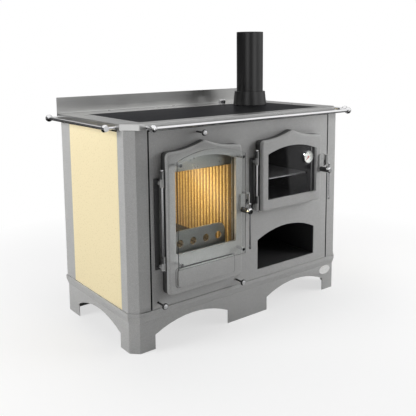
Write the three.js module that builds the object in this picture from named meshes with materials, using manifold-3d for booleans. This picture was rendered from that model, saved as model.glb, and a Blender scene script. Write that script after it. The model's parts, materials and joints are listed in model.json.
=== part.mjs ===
// Wood-burning cookstove: firebox and oven side by side, wood niche under the oven, steel hob with
// a rear upstand, chrome rails and a flue pipe, on a sheet plinth with arches.
// Millimetres, +Z up, +X to the right of someone facing the stove, +Y to the back.
// Y = 0 is the front face of the body while the model is drawn; the finished group is then
// moved so that its origin is the centre of its footprint.

import * as THREE from 'three';
import { mergeVertices } from 'three/addons/utils/BufferGeometryUtils.js';
import Module from 'manifold-3d';

const wasm = await Module();
wasm.setup();

// ---------------------------------------------------------------- general clearances and sheets
const GAP = 0.3;                     // air between pieces that touch
const SHEET = 3;                     // body, plinth and post sheet
const PANEL = 4;                     // front panel and base plate
const FOLD = 15;                     // depth of the folded edge behind a sheet
const EPS = 1;                       // how far a cutter runs past the face it cuts

// ---------------------------------------------------------------- body
const BODY_W = 1126;
const BODY_D = 550;
const CHAMFER = 31;                  // front corner chamfer, measured along X and Y
const FRONT_POST_FACE = 82;          // front post, across the front, chamfer included
const FRONT_POST_SIDE = 75;          // front post, along the side, chamfer included
const REAR_POST_SIDE = 79;           // rear casing, along the side
const REVEAL = 4;                    // dark joint between the front panel and its posts
const PANEL_JOINT = 0.6;             // joint between the side panel and its posts

// ---------------------------------------------------------------- plinth
const SEAM_Z = 158;                  // top of the plinth
const CORNICE_H = 40;                // moulded band at the top of the plinth
const CORNICE_LIP = 15;              // its upright part, under the body
const CORNICE_PROUD = 4;             // how far the lip stands out from the body
const CORNICE_LEDGE = 40;            // how far its flange reaches in under the body
const SKIRT_INSET = 3;               // skirt behind the body's face
const ARCH_HALF = 177;
const ARCH_SPRING = 57;
const ARCH_PEAK = 98;
const FRONT_ARCH_X = 286;            // centres of the two front arches, either side of the middle
const SIDE_ARCH_Y = 275;
const REAR_ARCH_HALF = 455;

// ---------------------------------------------------------------- hob
const HOB_TOP = 860;
const HOB_T = 23;                    // depth of the hob frame's rim
const HOB_OVERHANG = 6;              // front and sides
const HOB_REAR = 576;                // rear edge of the hob frame
const HOB_CHAMFER = 52;
const HOB_SHEET = 4;
const HOB_RETURN = 26;               // folded edge under the rim
const PLATE_W = 960;
const PLATE_FRONT = 53;
const PLATE_REAR = 465;
const PLATE_T = 8;
const PLATE_LEDGE = 14;              // ledge that carries the plate
const UPSTAND_H = 68;
const UPSTAND_T = 2;
const UPSTAND_FOOT = 16;

// ---------------------------------------------------------------- flue
const FLUE_X = 340;
const FLUE_Y = 376;
const PIPE_R = 63.5;
const PIPE_T = 2;
const PIPE_TOP = 1207;
const COLLAR_H = 65;
const COLLAR_BASE_R = 80;
const COLLAR_TOP_R = 74;
const HOB_KNOB_X = 260;
const HOB_KNOB_Y = 490;
const HOB_KNOB_R = 17.5;
const HOB_KNOB_H = 21;
const HOB_KNOB_STEM_R = 4;

// ---------------------------------------------------------------- rails
const RAIL_R = 7;
const RAIL_OUT = 41;                 // rail centre line out from the hob's edge
const RAIL_Z = 845;
const RAIL_BALL_R = 15;
const RAIL_ARM_R = 5.5;
const RAIL_BALL_FLAT = 0.72;         // where the ball's outer end is cut flat, as a share of its radius
const RAIL_FOOT_R = 8;
const RAIL_FOOT_T = 3;
const FRONT_RAIL_X = [-485, 560];    // centres of the two end balls
const LEFT_RAIL_Y = [74, 562];
const RIGHT_RAIL_Y = [12, 560];

// ---------------------------------------------------------------- doors
const DOOR_W = 360;
const DOOR_T = 40;
const DOOR_GAP = 2;                  // back of the door to the front panel
const DOOR_SHOULDER = 752;
const DOOR_PEAK = 783;
const DOOR_NOSE = 11;                // radius of the rounded front edge
const DOOR_CORNER = 20;
const DOOR_OGEE = 0.45;              // where the ogee's control point lies, from peak to shoulder
const WINDOW_HALF = 145;
const WINDOW_RISE = 27;
const WINDOW_CORNER = 8;
const GLASS_RECESS = 12;             // front of the glass behind the door's face
const GLASS_T = 4;
const GLASS_LAP = 11;                // glass beyond the edge of its window
const SEAL_INSET = 6;                // edge of the rebate to the sealing rope
const SEAL_W = 8;
const SEAL_DEPTH = 6;
const FIRE_X = -248;                 // centre line of the fire door and the firebox
const FIRE_BOTTOM = 211;
const FIRE_WINDOW_BOTTOM = 364;
const FIRE_WINDOW_SPRING = 701;
const OVEN_X = 217;
const OVEN_BOTTOM = 455;
const OVEN_WINDOW_BOTTOM = 499;
const OVEN_WINDOW_SPRING = 693;

// outer pane of the fire door, on four stand-offs
const PANE_HALF = 161;
const PANE_BOTTOM = 320;
const PANE_SPRING = 723;
const PANE_PEAK = 756;
const PANE_T = 4;
const PANE_STANDOFF = 36;            // door face to the back of the pane
const PIN_HALF = 149;
const PIN_LOW = 338;
const PIN_HIGH = 709;
const PIN_R = 6;
const PIN_STUD_R = 4;
const PIN_CAP_R = 7;
const PIN_CAP_T = 3;

// raised panel under the fire window
const RAISED_W = 280;
const RAISED_Z = [237, 314];
const RAISED_T = 7;
const RAISED_CORNER = 15;
const RAISED_EDGE = 3;

// ---------------------------------------------------------------- hinges
const HINGE_OFFSET = 9;              // hinge axis to the door's edge
const BARREL_R = 8;
const HINGE_ROD_R = 5;
const HINGE_CAP_R = 7.5;
const HINGE_CAP_H = 5;
const HINGE_ARM_H = 12;
const HINGE_ARM_X = [-9, -3];        // the arm's foot on the strip, from the hinge axis
const HINGE_STRIP_W = 20;
const HINGE_STRIP_T = 4;
const HINGE_STRIP_X = -13;           // centre of the strip from the hinge axis
const FIRE_BARRELS = { low: [311, 337, 363], high: [625, 655, 685] };
const OVEN_BARRELS = { low: [463, 492, 522], high: [652, 681, 710] };

// ---------------------------------------------------------------- latches
const FIRE_SPINDLE_INSET = 7;        // spindle centre to the door's free edge
const OVEN_SPINDLE_INSET = 12;
const SPINDLE_R = 4;
const SPINDLE_BORE_DEPTH = 24;
const FIRE_SPINDLE_Z = 489;
const OVEN_SPINDLE_Z = 597;
const CASE_W = 27;
const CASE_LEFT = 10;                // case's left side to the spindle centre
const CASE_BELOW = 13;
const CASE_ABOVE = 64;
const CASE_DEPTH = 6;
const CASE_WALL = 1.5;
const SLEEVE_R = 11;                 // dark sleeve on the spindle, in front of the case
const BLADE_LENGTH = 46;
const BLADE_HALF = 5;
const BLADE_T = 3;
const BLADE_ANGLE = 50;              // degrees above the horizontal when latched
const KEEPER_GAP = 6;                // case to keeper
const KEEPER_W = 17;
const KEEPER_POCKET = 12;
const KEEPER_LOW = 10;               // keeper's ends above the spindle
const KEEPER_HIGH = 62;
const KEEPER_FOOT_T = 4;
const LEVER_OUT = 52;                // lever's centre plane in front of the door's face
const LEVER_R = 4.5;
const LEVER_HUB_R = 13;
const LEVER_HUB_L = 16;
const LEVER_TOP = 33;
const LEVER_TIP_R = 5.5;
const LEVER_TIP_L = 18;
const FIRE_LEVER_DROP = 153;
const OVEN_LEVER_DROP = 128;

// ---------------------------------------------------------------- oven thermometer
const DIAL_X = WINDOW_HALF - 46;       // from the oven door's centre line
const DIAL_Z = OVEN_WINDOW_SPRING - 37;
const DIAL_R = 27.5;
const DIAL_BEZEL = 2.5;
const DIAL_DEPTH = 9;
const DIAL_CUP = 4;
const DIAL_STEM_R = 5;
const DIAL_STEM_L = 30;
const NEEDLE_L = 19;
const NEEDLE_TAIL = 6;
const NEEDLE_HALF = 1.3;
const NEEDLE_HUB_R = 3.2;
const NEEDLE_T = 1;
const NEEDLE_ANGLE = 225;            // cold position, degrees from +X

// ---------------------------------------------------------------- pull rods
const PULL_X = -260;                 // the upper rod; the lower two lie either side of it
const PULL_SPREAD = 190;
const PULL_HIGH_Z = 813;
const PULL_LOW_Z = 182;
const PULL_ROD_R = 4;
const PULL_KNOB_R = 12.5;
const PULL_KNOB_T = 12;
const PULL_OUT = 42;                 // front panel to the back of the knob
const SHUTTER_W = 50;
const SHUTTER_L = 70;
const SHUTTER_T = 3;
const SHUTTER_Y = 120;               // front edge of a shutter when pushed in
const PORT_W = 36;
const PORT_L = 40;
const PULL_LUG = [30, 10];           // ends of the lug between rod and shutter, from the shutter's back
const GUIDE_W = 6;
const GUIDE_H = 8;

// ---------------------------------------------------------------- firebox
const MOUTH_LAP = 13;                // panel mouth beyond the window, behind the door
const FIRE_MOUTH_BOTTOM = 232;
const FIREBOX_HALF = 182.5;
const FIREBOX_WALL = 4;
const FIREBOX_BACK = 426;
const FIREBOX_TOP = 742;
const FIREBOX_FOOT_X = 112;
const FIREBOX_FOOT_T = 6;
const FIREBOX_FOOT_INSET = [40, 20];  // ends of the feet from the shell's front and back
const AIR_HOLE = { half: 60, length: 110 };  // in the floor, under the ash pan
const LEDGE_Z = 320;                 // top of the ledge under grate and linings
const LEDGE_T = 4;
const LEDGE_W = 42;
const LEDGE_FRONT_W = 28;
const LINING_T = 20;
const LINING_TOP = 700;
const LINING_FRONT = 20;
const RIB_PITCH = 22;
const RIB_DEPTH = 6;
const GRATE_T = 14;
const GRATE_SLOTS = 9;
const GRATE_SLOT_W = 12;
const GRATE_RIM = { front: 45, back: 30, side: 15 };
const GRATE_WEB = 17;                // between the two rows of slots
const ASH_PAN = { half: 128, front: 24, back: 372, height: 62, wall: 2, lipHalf: 45, lip: 10 };
const GUARD = { half: 127, y: 9, t: 5, top: 437, corner: 38, holeR: 15.5, pitch: 62, holeZ: 387 };
const AIR_WASH = { half: 150, y: 9, t: 3, bottom: 667, top: 735 };
const BAFFLE = { front: 130, t: 6, rise: 22, run: 60 };   // the front edge turns up along the run

// ---------------------------------------------------------------- smoke channel
const SMOKE = { half: 455, front: 72, back: 446, wall: 3, port: [90, 420], portHalf: 165 };

// ---------------------------------------------------------------- oven and niche
const OVEN_MOUTH_BOTTOM = 475;
const OVEN_DEPTH = 430;
const OVEN_ROOF = OVEN_WINDOW_SPRING + 33;
const OVEN_WALL = 3;
const OVEN_SIDE_GAP = 2;             // mouth to the oven's side wall
const OVEN_LEG_INSET = [8, 20];      // legs from the side wall and from the ends
const RACK_Z = 569;
const RACK_WIRE_R = 2;
const RACK_BARS = 13;
const RUNNER_W = 8;
const RUNNER_T = 3;
const RUNNER_INSET = [30, 10];       // ends of the runners from the oven's front and back
const RACK_INSET = [34, 16];
const NICHE_X = 224;
const NICHE_HALF = 172.5;
const NICHE_BOTTOM = 195;
const NICHE_SPRING = 324;
const NICHE_PEAK = 364;
const NICHE_DEPTH = 420;
const NICHE_WALL = 2;
const NICHE_LAP = 5;                 // niche box beyond the arch's sides

// ================================================================ values that follow
const HALF_W = BODY_W / 2;
const HOB_UNDER = HOB_TOP - HOB_T;
const BODY_BOTTOM = SEAM_Z + GAP;
const BODY_TOP = HOB_UNDER - GAP;
const BASE_TOP = SEAM_Z + GAP + PANEL;
const HOB_HALF = HALF_W + HOB_OVERHANG;
const PLATE_BOTTOM = HOB_TOP - 0.5 - PLATE_T;
const PANEL_HALF = HALF_W - FRONT_POST_FACE - REVEAL;
const DOOR_FACE = -(DOOR_GAP + DOOR_T);
const HINGE_Y = -(DOOR_GAP + DOOR_T / 2);
const DOOR_CENTRE = HINGE_OFFSET + DOOR_W / 2;           // from the hinge axis
const LOCAL_FACE = -DOOR_T / 2;                          // door face, from the hinge axis
const LOCAL_BACK = DOOR_T / 2;
const FIRE_SPINDLE_X = HINGE_OFFSET + DOOR_W - FIRE_SPINDLE_INSET;    // from the hinge axis
const OVEN_SPINDLE_X = HINGE_OFFSET + DOOR_W - OVEN_SPINDLE_INSET;
const LEVER_FRONT = DOOR_FACE - LEVER_OUT - LEVER_HUB_L / 2;
const ORIGIN_Y = (LEVER_FRONT + HOB_REAR) / 2;           // middle of the footprint
const MOUTH_TOP_GAP = 1;

// ================================================================ materials
const paint = (name, color, roughness, metalness) =>
  Object.assign(new THREE.MeshStandardMaterial({ color, roughness, metalness }), { name });
const MAT = {
  greyPaint: () => paint('grey_paint', 0x9c9c9b, 0.5, 0.35),
  cream: () => paint('cream_enamel', 0xf3e3b4, 0.25, 0),
  stainless: () => paint('stainless', 0xb9bab9, 0.32, 0.9),
  hobSteel: () => paint('hob_steel', 0x3c3d3e, 0.22, 0.6),
  flueBlack: () => paint('flue_black', 0x1d1d1e, 0.5, 0.2),
  chrome: () => paint('chrome', 0xdedfe0, 0.08, 1),
  castIron: () => paint('cast_iron', 0x4a4a49, 0.7, 0.4),
  darkSteel: () => paint('dark_steel', 0x2b2b2c, 0.6, 0.5),
  galvanised: () => paint('galvanised', 0x8f9192, 0.5, 0.7),
  vermiculite: () => paint('vermiculite', 0xd8b056, 0.85, 0),
  glass: () => new THREE.MeshStandardMaterial(
    { name: 'glass', color: 0xdfe6e4, roughness: 0.03, metalness: 0, transparent: true, opacity: 0.25 }),
  ovenGlass: () => new THREE.MeshStandardMaterial(
    { name: 'oven_glass', color: 0x24262a, roughness: 0.03, metalness: 0, transparent: true, opacity: 0.6 }),
  rope: () => paint('sealing_rope', 0x3a3a38, 0.95, 0),
  enamelBlack: () => paint('oven_enamel', 0x202124, 0.3, 0),
  white: () => paint('dial_white', 0xf2f2ee, 0.4, 0),
  red: () => paint('needle_red', 0xb02222, 0.5, 0),
};

// ================================================================ geometry helpers
const toSolid = (geometry) => {
  const bare = geometry.index ? geometry.toNonIndexed() : geometry.clone();
  bare.deleteAttribute('normal');
  bare.deleteAttribute('uv');
  const merged = mergeVertices(bare, 1e-4);
  return new wasm.Manifold(new wasm.Mesh({
    numProp: 3,
    vertProperties: Float32Array.from(merged.attributes.position.array),
    triVerts: Uint32Array.from(merged.index.array),
  }));
};

const toGeometry = (solid) => {
  const mesh = solid.getMesh();
  const geometry = new THREE.BufferGeometry();
  geometry.setAttribute('position', new THREE.BufferAttribute(Float32Array.from(mesh.vertProperties), 3));
  geometry.setIndex(new THREE.BufferAttribute(Uint32Array.from(mesh.triVerts), 1));
  geometry.computeVertexNormals();
  return geometry;
};

const join = (...solids) => solids.flat().reduce((sum, solid) => sum.add(solid));
const cut = (body, ...tools) => tools.flat().reduce((rest, tool) => rest.subtract(tool), body);

// box between two opposite corners
const box = (x, y, z) => {
  const geometry = new THREE.BoxGeometry(x[1] - x[0], y[1] - y[0], z[1] - z[0]);
  geometry.translate((x[0] + x[1]) / 2, (y[0] + y[1]) / 2, (z[0] + z[1]) / 2);
  return toSolid(geometry);
};

const around = (centre, half) => [centre - half, centre + half];

// outline in X and Y, raised from z[0] to z[1]
const plan = (shape, z, curveSegments = 5) => {
  const geometry = new THREE.ExtrudeGeometry(shape, { depth: z[1] - z[0], bevelEnabled: false, curveSegments });
  geometry.translate(0, 0, z[0]);
  return toSolid(geometry);
};

// outline in X and Z, running from y[0] to y[1]; options may add a bevel
const upright = (shape, y, options = {}) => {
  const geometry = new THREE.ExtrudeGeometry(
    shape, { depth: y[1] - y[0], bevelEnabled: false, curveSegments: 5, ...options });
  geometry.rotateX(Math.PI / 2);
  geometry.translate(0, y[1], 0);
  return toSolid(geometry);
};

// outline in Y and Z, running from x[0] to x[1]
const sideways = (shape, x, curveSegments = 5) => {
  const geometry = new THREE.ExtrudeGeometry(shape, { depth: x[1] - x[0], bevelEnabled: false, curveSegments });
  geometry.applyMatrix4(new THREE.Matrix4().makeBasis(
    new THREE.Vector3(0, 1, 0), new THREE.Vector3(0, 0, 1), new THREE.Vector3(1, 0, 0)));
  geometry.translate(x[0], 0, 0);
  return toSolid(geometry);
};

// profile of [radius, height] points turned about +Z, with its foot at the origin
const turned = (profile, segments = 24) => {
  const geometry = new THREE.LatheGeometry(profile.map(([r, h]) => new THREE.Vector2(r, h)), segments);
  geometry.rotateX(Math.PI / 2);
  return toSolid(geometry);
};

const rodProfile = (r, length) => [[0, 0], [r, 0], [r, length], [0, length]];
const rodZ = (x, y, r, z, segments = 12) => turned(rodProfile(r, z[1] - z[0]), segments).translate([x, y, z[0]]);
// turned pieces laid along -Y (towards the front), +X or -X; their foot stays at the given point
const alongFront = (solid, x, y, z) => solid.rotate([90, 0, 0]).translate([x, y, z]);
const alongX = (solid, x, y, z) => solid.rotate([0, 90, 0]).translate([x, y, z]);
const rodY = (x, z, r, y, segments = 12) => alongFront(turned(rodProfile(r, y[1] - y[0]), segments), x, y[1], z);
const rodX = (y, z, r, x, segments = 12) => alongX(turned(rodProfile(r, x[1] - x[0]), segments), x[0], y, z);

const polygon = (points) => new THREE.Shape(points.map(([x, y]) => new THREE.Vector2(x, y)));

// carries an outline round a corner to `end`, in a few straight steps
const bend = (shape, corner, end, steps) => {
  const start = shape.currentPoint.clone();
  new THREE.QuadraticBezierCurve(start, new THREE.Vector2(...corner), new THREE.Vector2(...end))
    .getPoints(steps).slice(1).forEach(({ x, y }) => shape.lineTo(x, y));
};

// round-headed opening: upright sides, a shallow arc on top, small lower corners
const archShape = (cx, half, bottom, spring, peak, corner = 0) => {
  const rise = peak - spring;
  const radius = (half * half + rise * rise) / (2 * rise);
  const sweep = Math.asin(half / radius);
  const shape = new THREE.Shape();
  shape.moveTo(cx - half + corner, bottom);
  shape.lineTo(cx + half - corner, bottom);
  if (corner > 0) bend(shape, [cx + half, bottom], [cx + half, bottom + corner], 3);
  shape.lineTo(cx + half, spring);
  shape.absarc(cx, peak - radius, radius, Math.PI / 2 - sweep, Math.PI / 2 + sweep, false);
  shape.lineTo(cx - half, bottom + corner);
  if (corner > 0) bend(shape, [cx - half, bottom], [cx - half + corner, bottom], 3);
  return shape;
};

// rectangle with rounded corners
const roundedShape = (x, z, corner, steps = 3) => {
  const shape = new THREE.Shape();
  shape.moveTo(x[0] + corner, z[0]);
  shape.lineTo(x[1] - corner, z[0]);
  bend(shape, [x[1], z[0]], [x[1], z[0] + corner], steps);
  shape.lineTo(x[1], z[1] - corner);
  bend(shape, [x[1], z[1]], [x[1] - corner, z[1]], steps);
  shape.lineTo(x[0] + corner, z[1]);
  bend(shape, [x[0], z[1]], [x[0], z[1] - corner], steps);
  shape.lineTo(x[0], z[0] + corner);
  bend(shape, [x[0], z[0]], [x[0] + corner, z[0]], steps);
  return shape;
};

// rectangle in plan whose two front corners are chamfered; rear corners too if asked
const chamferedPlan = (half, front, back, chamfer) => polygon([
  [-half + chamfer, front], [half - chamfer, front], [half, front + chamfer],
  [half, back], [-half, back], [-half, front + chamfer],
]);

// an open line of sheet in plan, thickened to its left, as a closed outline
const foldedSheet = (line, thickness) => {
  const points = line.map(([x, y]) => new THREE.Vector2(x, y));
  const normal = (a, b) => new THREE.Vector2(a.y - b.y, b.x - a.x).normalize();
  const inner = points.map((point, i) => {
    const before = i > 0 ? normal(points[i - 1], point) : null;
    const after = i < points.length - 1 ? normal(point, points[i + 1]) : null;
    if (!before) return point.clone().addScaledVector(after, thickness);
    if (!after) return point.clone().addScaledVector(before, thickness);
    const mitre = before.clone().add(after).normalize();
    return point.clone().addScaledVector(mitre, thickness / mitre.dot(before));
  });
  return new THREE.Shape([...points, ...inner.reverse()]);
};

// ================================================================ assembly helper
const stove = new THREE.Group();
stove.name = 'cookstove';

const place = (name, solid, material, parent = stove) => {
  const mesh = new THREE.Mesh(toGeometry(solid), material);
  mesh.name = name;
  parent.add(mesh);
  return mesh;
};

// ================================================================ plinth
function makePlinth() {
  const half = HALF_W - SKIRT_INSET;
  const [front, back] = [SKIRT_INSET, BODY_D - SKIRT_INSET];
  const top = SEAM_Z - CORNICE_H - GAP;
  const chamfer = CHAMFER - 1;
  const ring = cut(
    plan(chamferedPlan(half, front, back, chamfer), [0, top]),
    plan(chamferedPlan(half - SHEET, front + SHEET, back - SHEET, chamfer), [-EPS, top + EPS]));
  const archCut = (cx, archHalf) => archShape(cx, archHalf, -EPS, ARCH_SPRING, ARCH_PEAK);
  const frontArches = [-FRONT_ARCH_X, FRONT_ARCH_X].map(
    (x) => upright(archCut(x, ARCH_HALF), [front - EPS, front + SHEET + EPS]));
  const rearArch = upright(archCut(0, REAR_ARCH_HALF), [back - SHEET - EPS, back + EPS]);
  const sideArch = sideways(archCut(SIDE_ARCH_Y, ARCH_HALF), [-half - EPS, half + EPS]);
  const skirt = cut(ring, sideArch, rearArch, frontArches);
  const cornerY = front + chamfer + SHEET;
  const slice = (y) => skirt.intersect(box(around(0, half + EPS), y, [-EPS, top + EPS]));
  place('plinth_front', slice([front - EPS, cornerY]), MAT.greyPaint());
  place('plinth_surround', slice([cornerY + GAP, back + EPS]), MAT.greyPaint());
}

function makeCornice() {
  const bottom = SEAM_Z - CORNICE_H;
  const lipHalf = HALF_W + CORNICE_PROUD;
  const skirtHalf = HALF_W - SKIRT_INSET;
  const grow = lipHalf - skirtHalf;
  const slope = CORNICE_H - CORNICE_LIP;
  // the sloping part is a bevelled extrusion, whose bevel is the slope from skirt to lip
  const bevelled = new THREE.ExtrudeGeometry(
    chamferedPlan(skirtHalf, SKIRT_INSET, BODY_D - SKIRT_INSET, CHAMFER - 1),
    { depth: EPS, bevelEnabled: true, bevelThickness: slope, bevelSize: grow, bevelSegments: 1 });
  bevelled.translate(0, 0, SEAM_Z - CORNICE_LIP);
  const lipOutline = chamferedPlan(lipHalf, -CORNICE_PROUD, BODY_D + CORNICE_PROUD, CHAMFER + 2);
  const upper = plan(lipOutline, [SEAM_Z - CORNICE_LIP, SEAM_Z]);
  const lower = toSolid(bevelled).intersect(
    box(around(0, lipHalf + EPS), [-grow - EPS, BODY_D + grow], [bottom, SEAM_Z - CORNICE_LIP + EPS / 2]));
  const inside = (inset, z) => plan(
    chamferedPlan(HALF_W - inset, inset, BODY_D - inset, CHAMFER), z);
  const hollow = inside(SKIRT_INSET + SHEET, [bottom - EPS, SEAM_Z - SHEET]);
  const window = inside(CORNICE_LEDGE, [bottom, SEAM_Z + EPS]);
  place('plinth_cornice', cut(join(upper, lower), hollow, window), MAT.greyPaint());
}

function makeBasePlate() {
  const half = HALF_W - SHEET - FOLD;
  const plate = box(around(0, half), [SHEET + FOLD, BODY_D - SHEET - FOLD], [SEAM_Z + GAP, BASE_TOP]);
  const ports = [];
  const guides = [];
  for (const side of [-1, 1]) {
    const x = PULL_X + side * PULL_SPREAD;
    const y = SHUTTER_Y + SHUTTER_L / 2;
    ports.push(box(around(x, PORT_W / 2), around(y, PORT_L / 2), [SEAM_Z, BASE_TOP + EPS]));
    for (const hand of [-1, 1]) {
      const gx = x + hand * (SHUTTER_W / 2 + GAP + GUIDE_W / 2);
      const guideY = [SHUTTER_Y - SHUTTER_L, SHUTTER_Y + SHUTTER_L];
      guides.push(box(around(gx, GUIDE_W / 2), guideY, [BASE_TOP - EPS, BASE_TOP + GUIDE_H]));
    }
  }
  place('base_plate', cut(join(plate, guides), ports), MAT.galvanised());
}

// ================================================================ body
function makePosts() {
  const line = [
    [-HALF_W + FOLD, FRONT_POST_SIDE], [-HALF_W, FRONT_POST_SIDE], [-HALF_W, CHAMFER],
    [-HALF_W + CHAMFER, 0], [-HALF_W + FRONT_POST_FACE, 0], [-HALF_W + FRONT_POST_FACE, FOLD],
  ];
  const post = plan(foldedSheet(line, SHEET), [BODY_BOTTOM, BODY_TOP]);
  place('post_left', post, MAT.greyPaint());
  place('post_right', post.mirror([1, 0, 0]), MAT.greyPaint());
}

// the back of the body, folded round both rear corners
function makeRearCasing() {
  const corner = [[HALF_W - FOLD, BODY_D - REAR_POST_SIDE], [HALF_W, BODY_D - REAR_POST_SIDE], [HALF_W, BODY_D]];
  const line = [...corner, ...corner.map(([x, y]) => [-x, y]).reverse()];
  place('rear_casing', plan(foldedSheet(line, SHEET), [BODY_BOTTOM, BODY_TOP]), MAT.greyPaint());
}

function makeSidePanels() {
  const y = [FRONT_POST_SIDE + PANEL_JOINT, BODY_D - REAR_POST_SIDE - PANEL_JOINT];
  const z = [BODY_BOTTOM, BODY_TOP];
  const pan = cut(
    box([-HALF_W, -HALF_W + FOLD - SHEET], y, z),
    box([-HALF_W + SHEET, -HALF_W + FOLD], [y[0] + SHEET, y[1] - SHEET], [z[0] + SHEET, z[1] - SHEET]));
  place('side_panel_left', pan, MAT.cream());
  place('side_panel_right', pan.mirror([1, 0, 0]), MAT.cream());
}

const mouthShape = (cx, bottom, windowSpring) => archShape(
  cx, WINDOW_HALF + MOUTH_LAP, bottom, windowSpring + MOUTH_LAP - MOUTH_TOP_GAP,
  windowSpring + WINDOW_RISE + MOUTH_LAP - MOUTH_TOP_GAP, WINDOW_CORNER);

function makeFrontPanel() {
  const y = [0, PANEL];
  const sheet = box(around(0, PANEL_HALF), y, [BODY_BOTTOM, BODY_TOP]);
  const folds = [-1, 1].map((side) => box(
    side < 0 ? [-PANEL_HALF, -PANEL_HALF + SHEET] : [PANEL_HALF - SHEET, PANEL_HALF],
    [0, FOLD], [BODY_BOTTOM, BODY_TOP]));
  const through = [-EPS, PANEL + EPS];
  const openings = [
    upright(mouthShape(FIRE_X, FIRE_MOUTH_BOTTOM, FIRE_WINDOW_SPRING), through),
    upright(mouthShape(OVEN_X, OVEN_MOUTH_BOTTOM, OVEN_WINDOW_SPRING), through),
    upright(archShape(NICHE_X, NICHE_HALF, NICHE_BOTTOM, NICHE_SPRING, NICHE_PEAK), through),
    ...pullPositions().map(({ x, z }) => rodY(x, z, PULL_ROD_R + GAP, through, 12)),
  ];
  place('front_panel', cut(join(sheet, folds), openings), MAT.greyPaint());
}

// ================================================================ hob
function makeHob() {
  const outline = chamferedPlan(HOB_HALF, -HOB_OVERHANG, HOB_REAR, HOB_CHAMFER);
  const insetOutline = (inset) => chamferedPlan(
    HOB_HALF - inset, -HOB_OVERHANG + inset, HOB_REAR - inset, HOB_CHAMFER);
  const block = plan(outline, [HOB_UNDER, HOB_TOP]);
  const hollow = plan(insetOutline(SHEET), [HOB_UNDER + SHEET, HOB_TOP - HOB_SHEET]);
  const under = plan(insetOutline(HOB_RETURN), [HOB_UNDER - EPS, HOB_UNDER + SHEET + EPS]);
  const opening = box(around(0, PLATE_W / 2 + GAP), [PLATE_FRONT - GAP, PLATE_REAR + GAP],
    [HOB_UNDER - EPS, HOB_TOP + EPS]);
  const trayWall = 2 * SHEET;
  const tray = box(around(0, PLATE_W / 2 + trayWall), [PLATE_FRONT - trayWall, PLATE_REAR + trayWall],
    [PLATE_BOTTOM - GAP - SHEET, HOB_TOP - EPS]);
  const ledgeHole = box(around(0, PLATE_W / 2 - PLATE_LEDGE),
    [PLATE_FRONT + PLATE_LEDGE, PLATE_REAR - PLATE_LEDGE], [HOB_UNDER - EPS, HOB_TOP]);
  const well = box(around(0, PLATE_W / 2 + GAP), [PLATE_FRONT - GAP, PLATE_REAR + GAP],
    [PLATE_BOTTOM - GAP, HOB_TOP + EPS]);
  const stemHole = rodZ(HOB_KNOB_X, HOB_KNOB_Y, HOB_KNOB_STEM_R + GAP, [HOB_TOP - 2 * HOB_SHEET, HOB_TOP + EPS]);
  const frame = cut(join(cut(block, hollow, under, opening), tray), ledgeHole, well, stemHole);
  place('hob_frame', frame, MAT.stainless());

  const plate = box(around(0, PLATE_W / 2), [PLATE_FRONT, PLATE_REAR], [PLATE_BOTTOM, PLATE_BOTTOM + PLATE_T]);
  const flueHole = rodZ(FLUE_X, FLUE_Y, PIPE_R - PIPE_T - 1, [PLATE_BOTTOM - EPS, HOB_TOP + EPS], 28);
  place('hob_plate', cut(plate, flueHole), MAT.hobSteel());

  const base = HOB_TOP + GAP;
  const profile = polygon([
    [HOB_REAR - UPSTAND_FOOT, base], [HOB_REAR, base], [HOB_REAR, base + UPSTAND_H],
    [HOB_REAR - UPSTAND_T, base + UPSTAND_H], [HOB_REAR - UPSTAND_T, base + UPSTAND_T],
    [HOB_REAR - UPSTAND_FOOT, base + UPSTAND_T],
  ]);
  place('rear_upstand', sideways(profile, [-HOB_HALF, HOB_HALF]), MAT.stainless());
}

function makeHobKnob() {
  const top = HOB_TOP + GAP;
  const nut = HOB_TOP - HOB_SHEET - GAP;
  const knob = turned([
    [0, 0], [HOB_KNOB_R - 1, 0], [HOB_KNOB_R, 1.5], [HOB_KNOB_R, HOB_KNOB_H - 2],
    [HOB_KNOB_R - 2, HOB_KNOB_H], [0, HOB_KNOB_H],
  ], 20).translate([HOB_KNOB_X, HOB_KNOB_Y, top]);
  const stem = rodZ(HOB_KNOB_X, HOB_KNOB_Y, HOB_KNOB_STEM_R, [nut - 5, top + EPS]);
  const collar = rodZ(HOB_KNOB_X, HOB_KNOB_Y, 2 * HOB_KNOB_STEM_R, [nut - 5, nut]);
  place('hob_knob', join(knob, stem, collar), MAT.chrome());
}

function makeFlue() {
  const foot = PLATE_BOTTOM + PLATE_T + GAP;
  const bore = PIPE_R + GAP;
  const collar = turned([
    [bore, 0], [COLLAR_BASE_R, 0], [COLLAR_BASE_R, 4], [COLLAR_TOP_R, COLLAR_H - 6],
    [COLLAR_TOP_R, COLLAR_H], [bore, COLLAR_H], [bore, 0],
  ], 32).translate([FLUE_X, FLUE_Y, foot]);
  place('flue_collar', collar, MAT.flueBlack());
  const inner = PIPE_R - PIPE_T;
  const length = PIPE_TOP - foot;
  const pipe = turned([[inner, 0], [PIPE_R, 0], [PIPE_R, length], [inner, length], [inner, 0]], 32)
    .translate([FLUE_X, FLUE_Y, foot]);
  place('flue_pipe', pipe, MAT.flueBlack());
}

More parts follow.
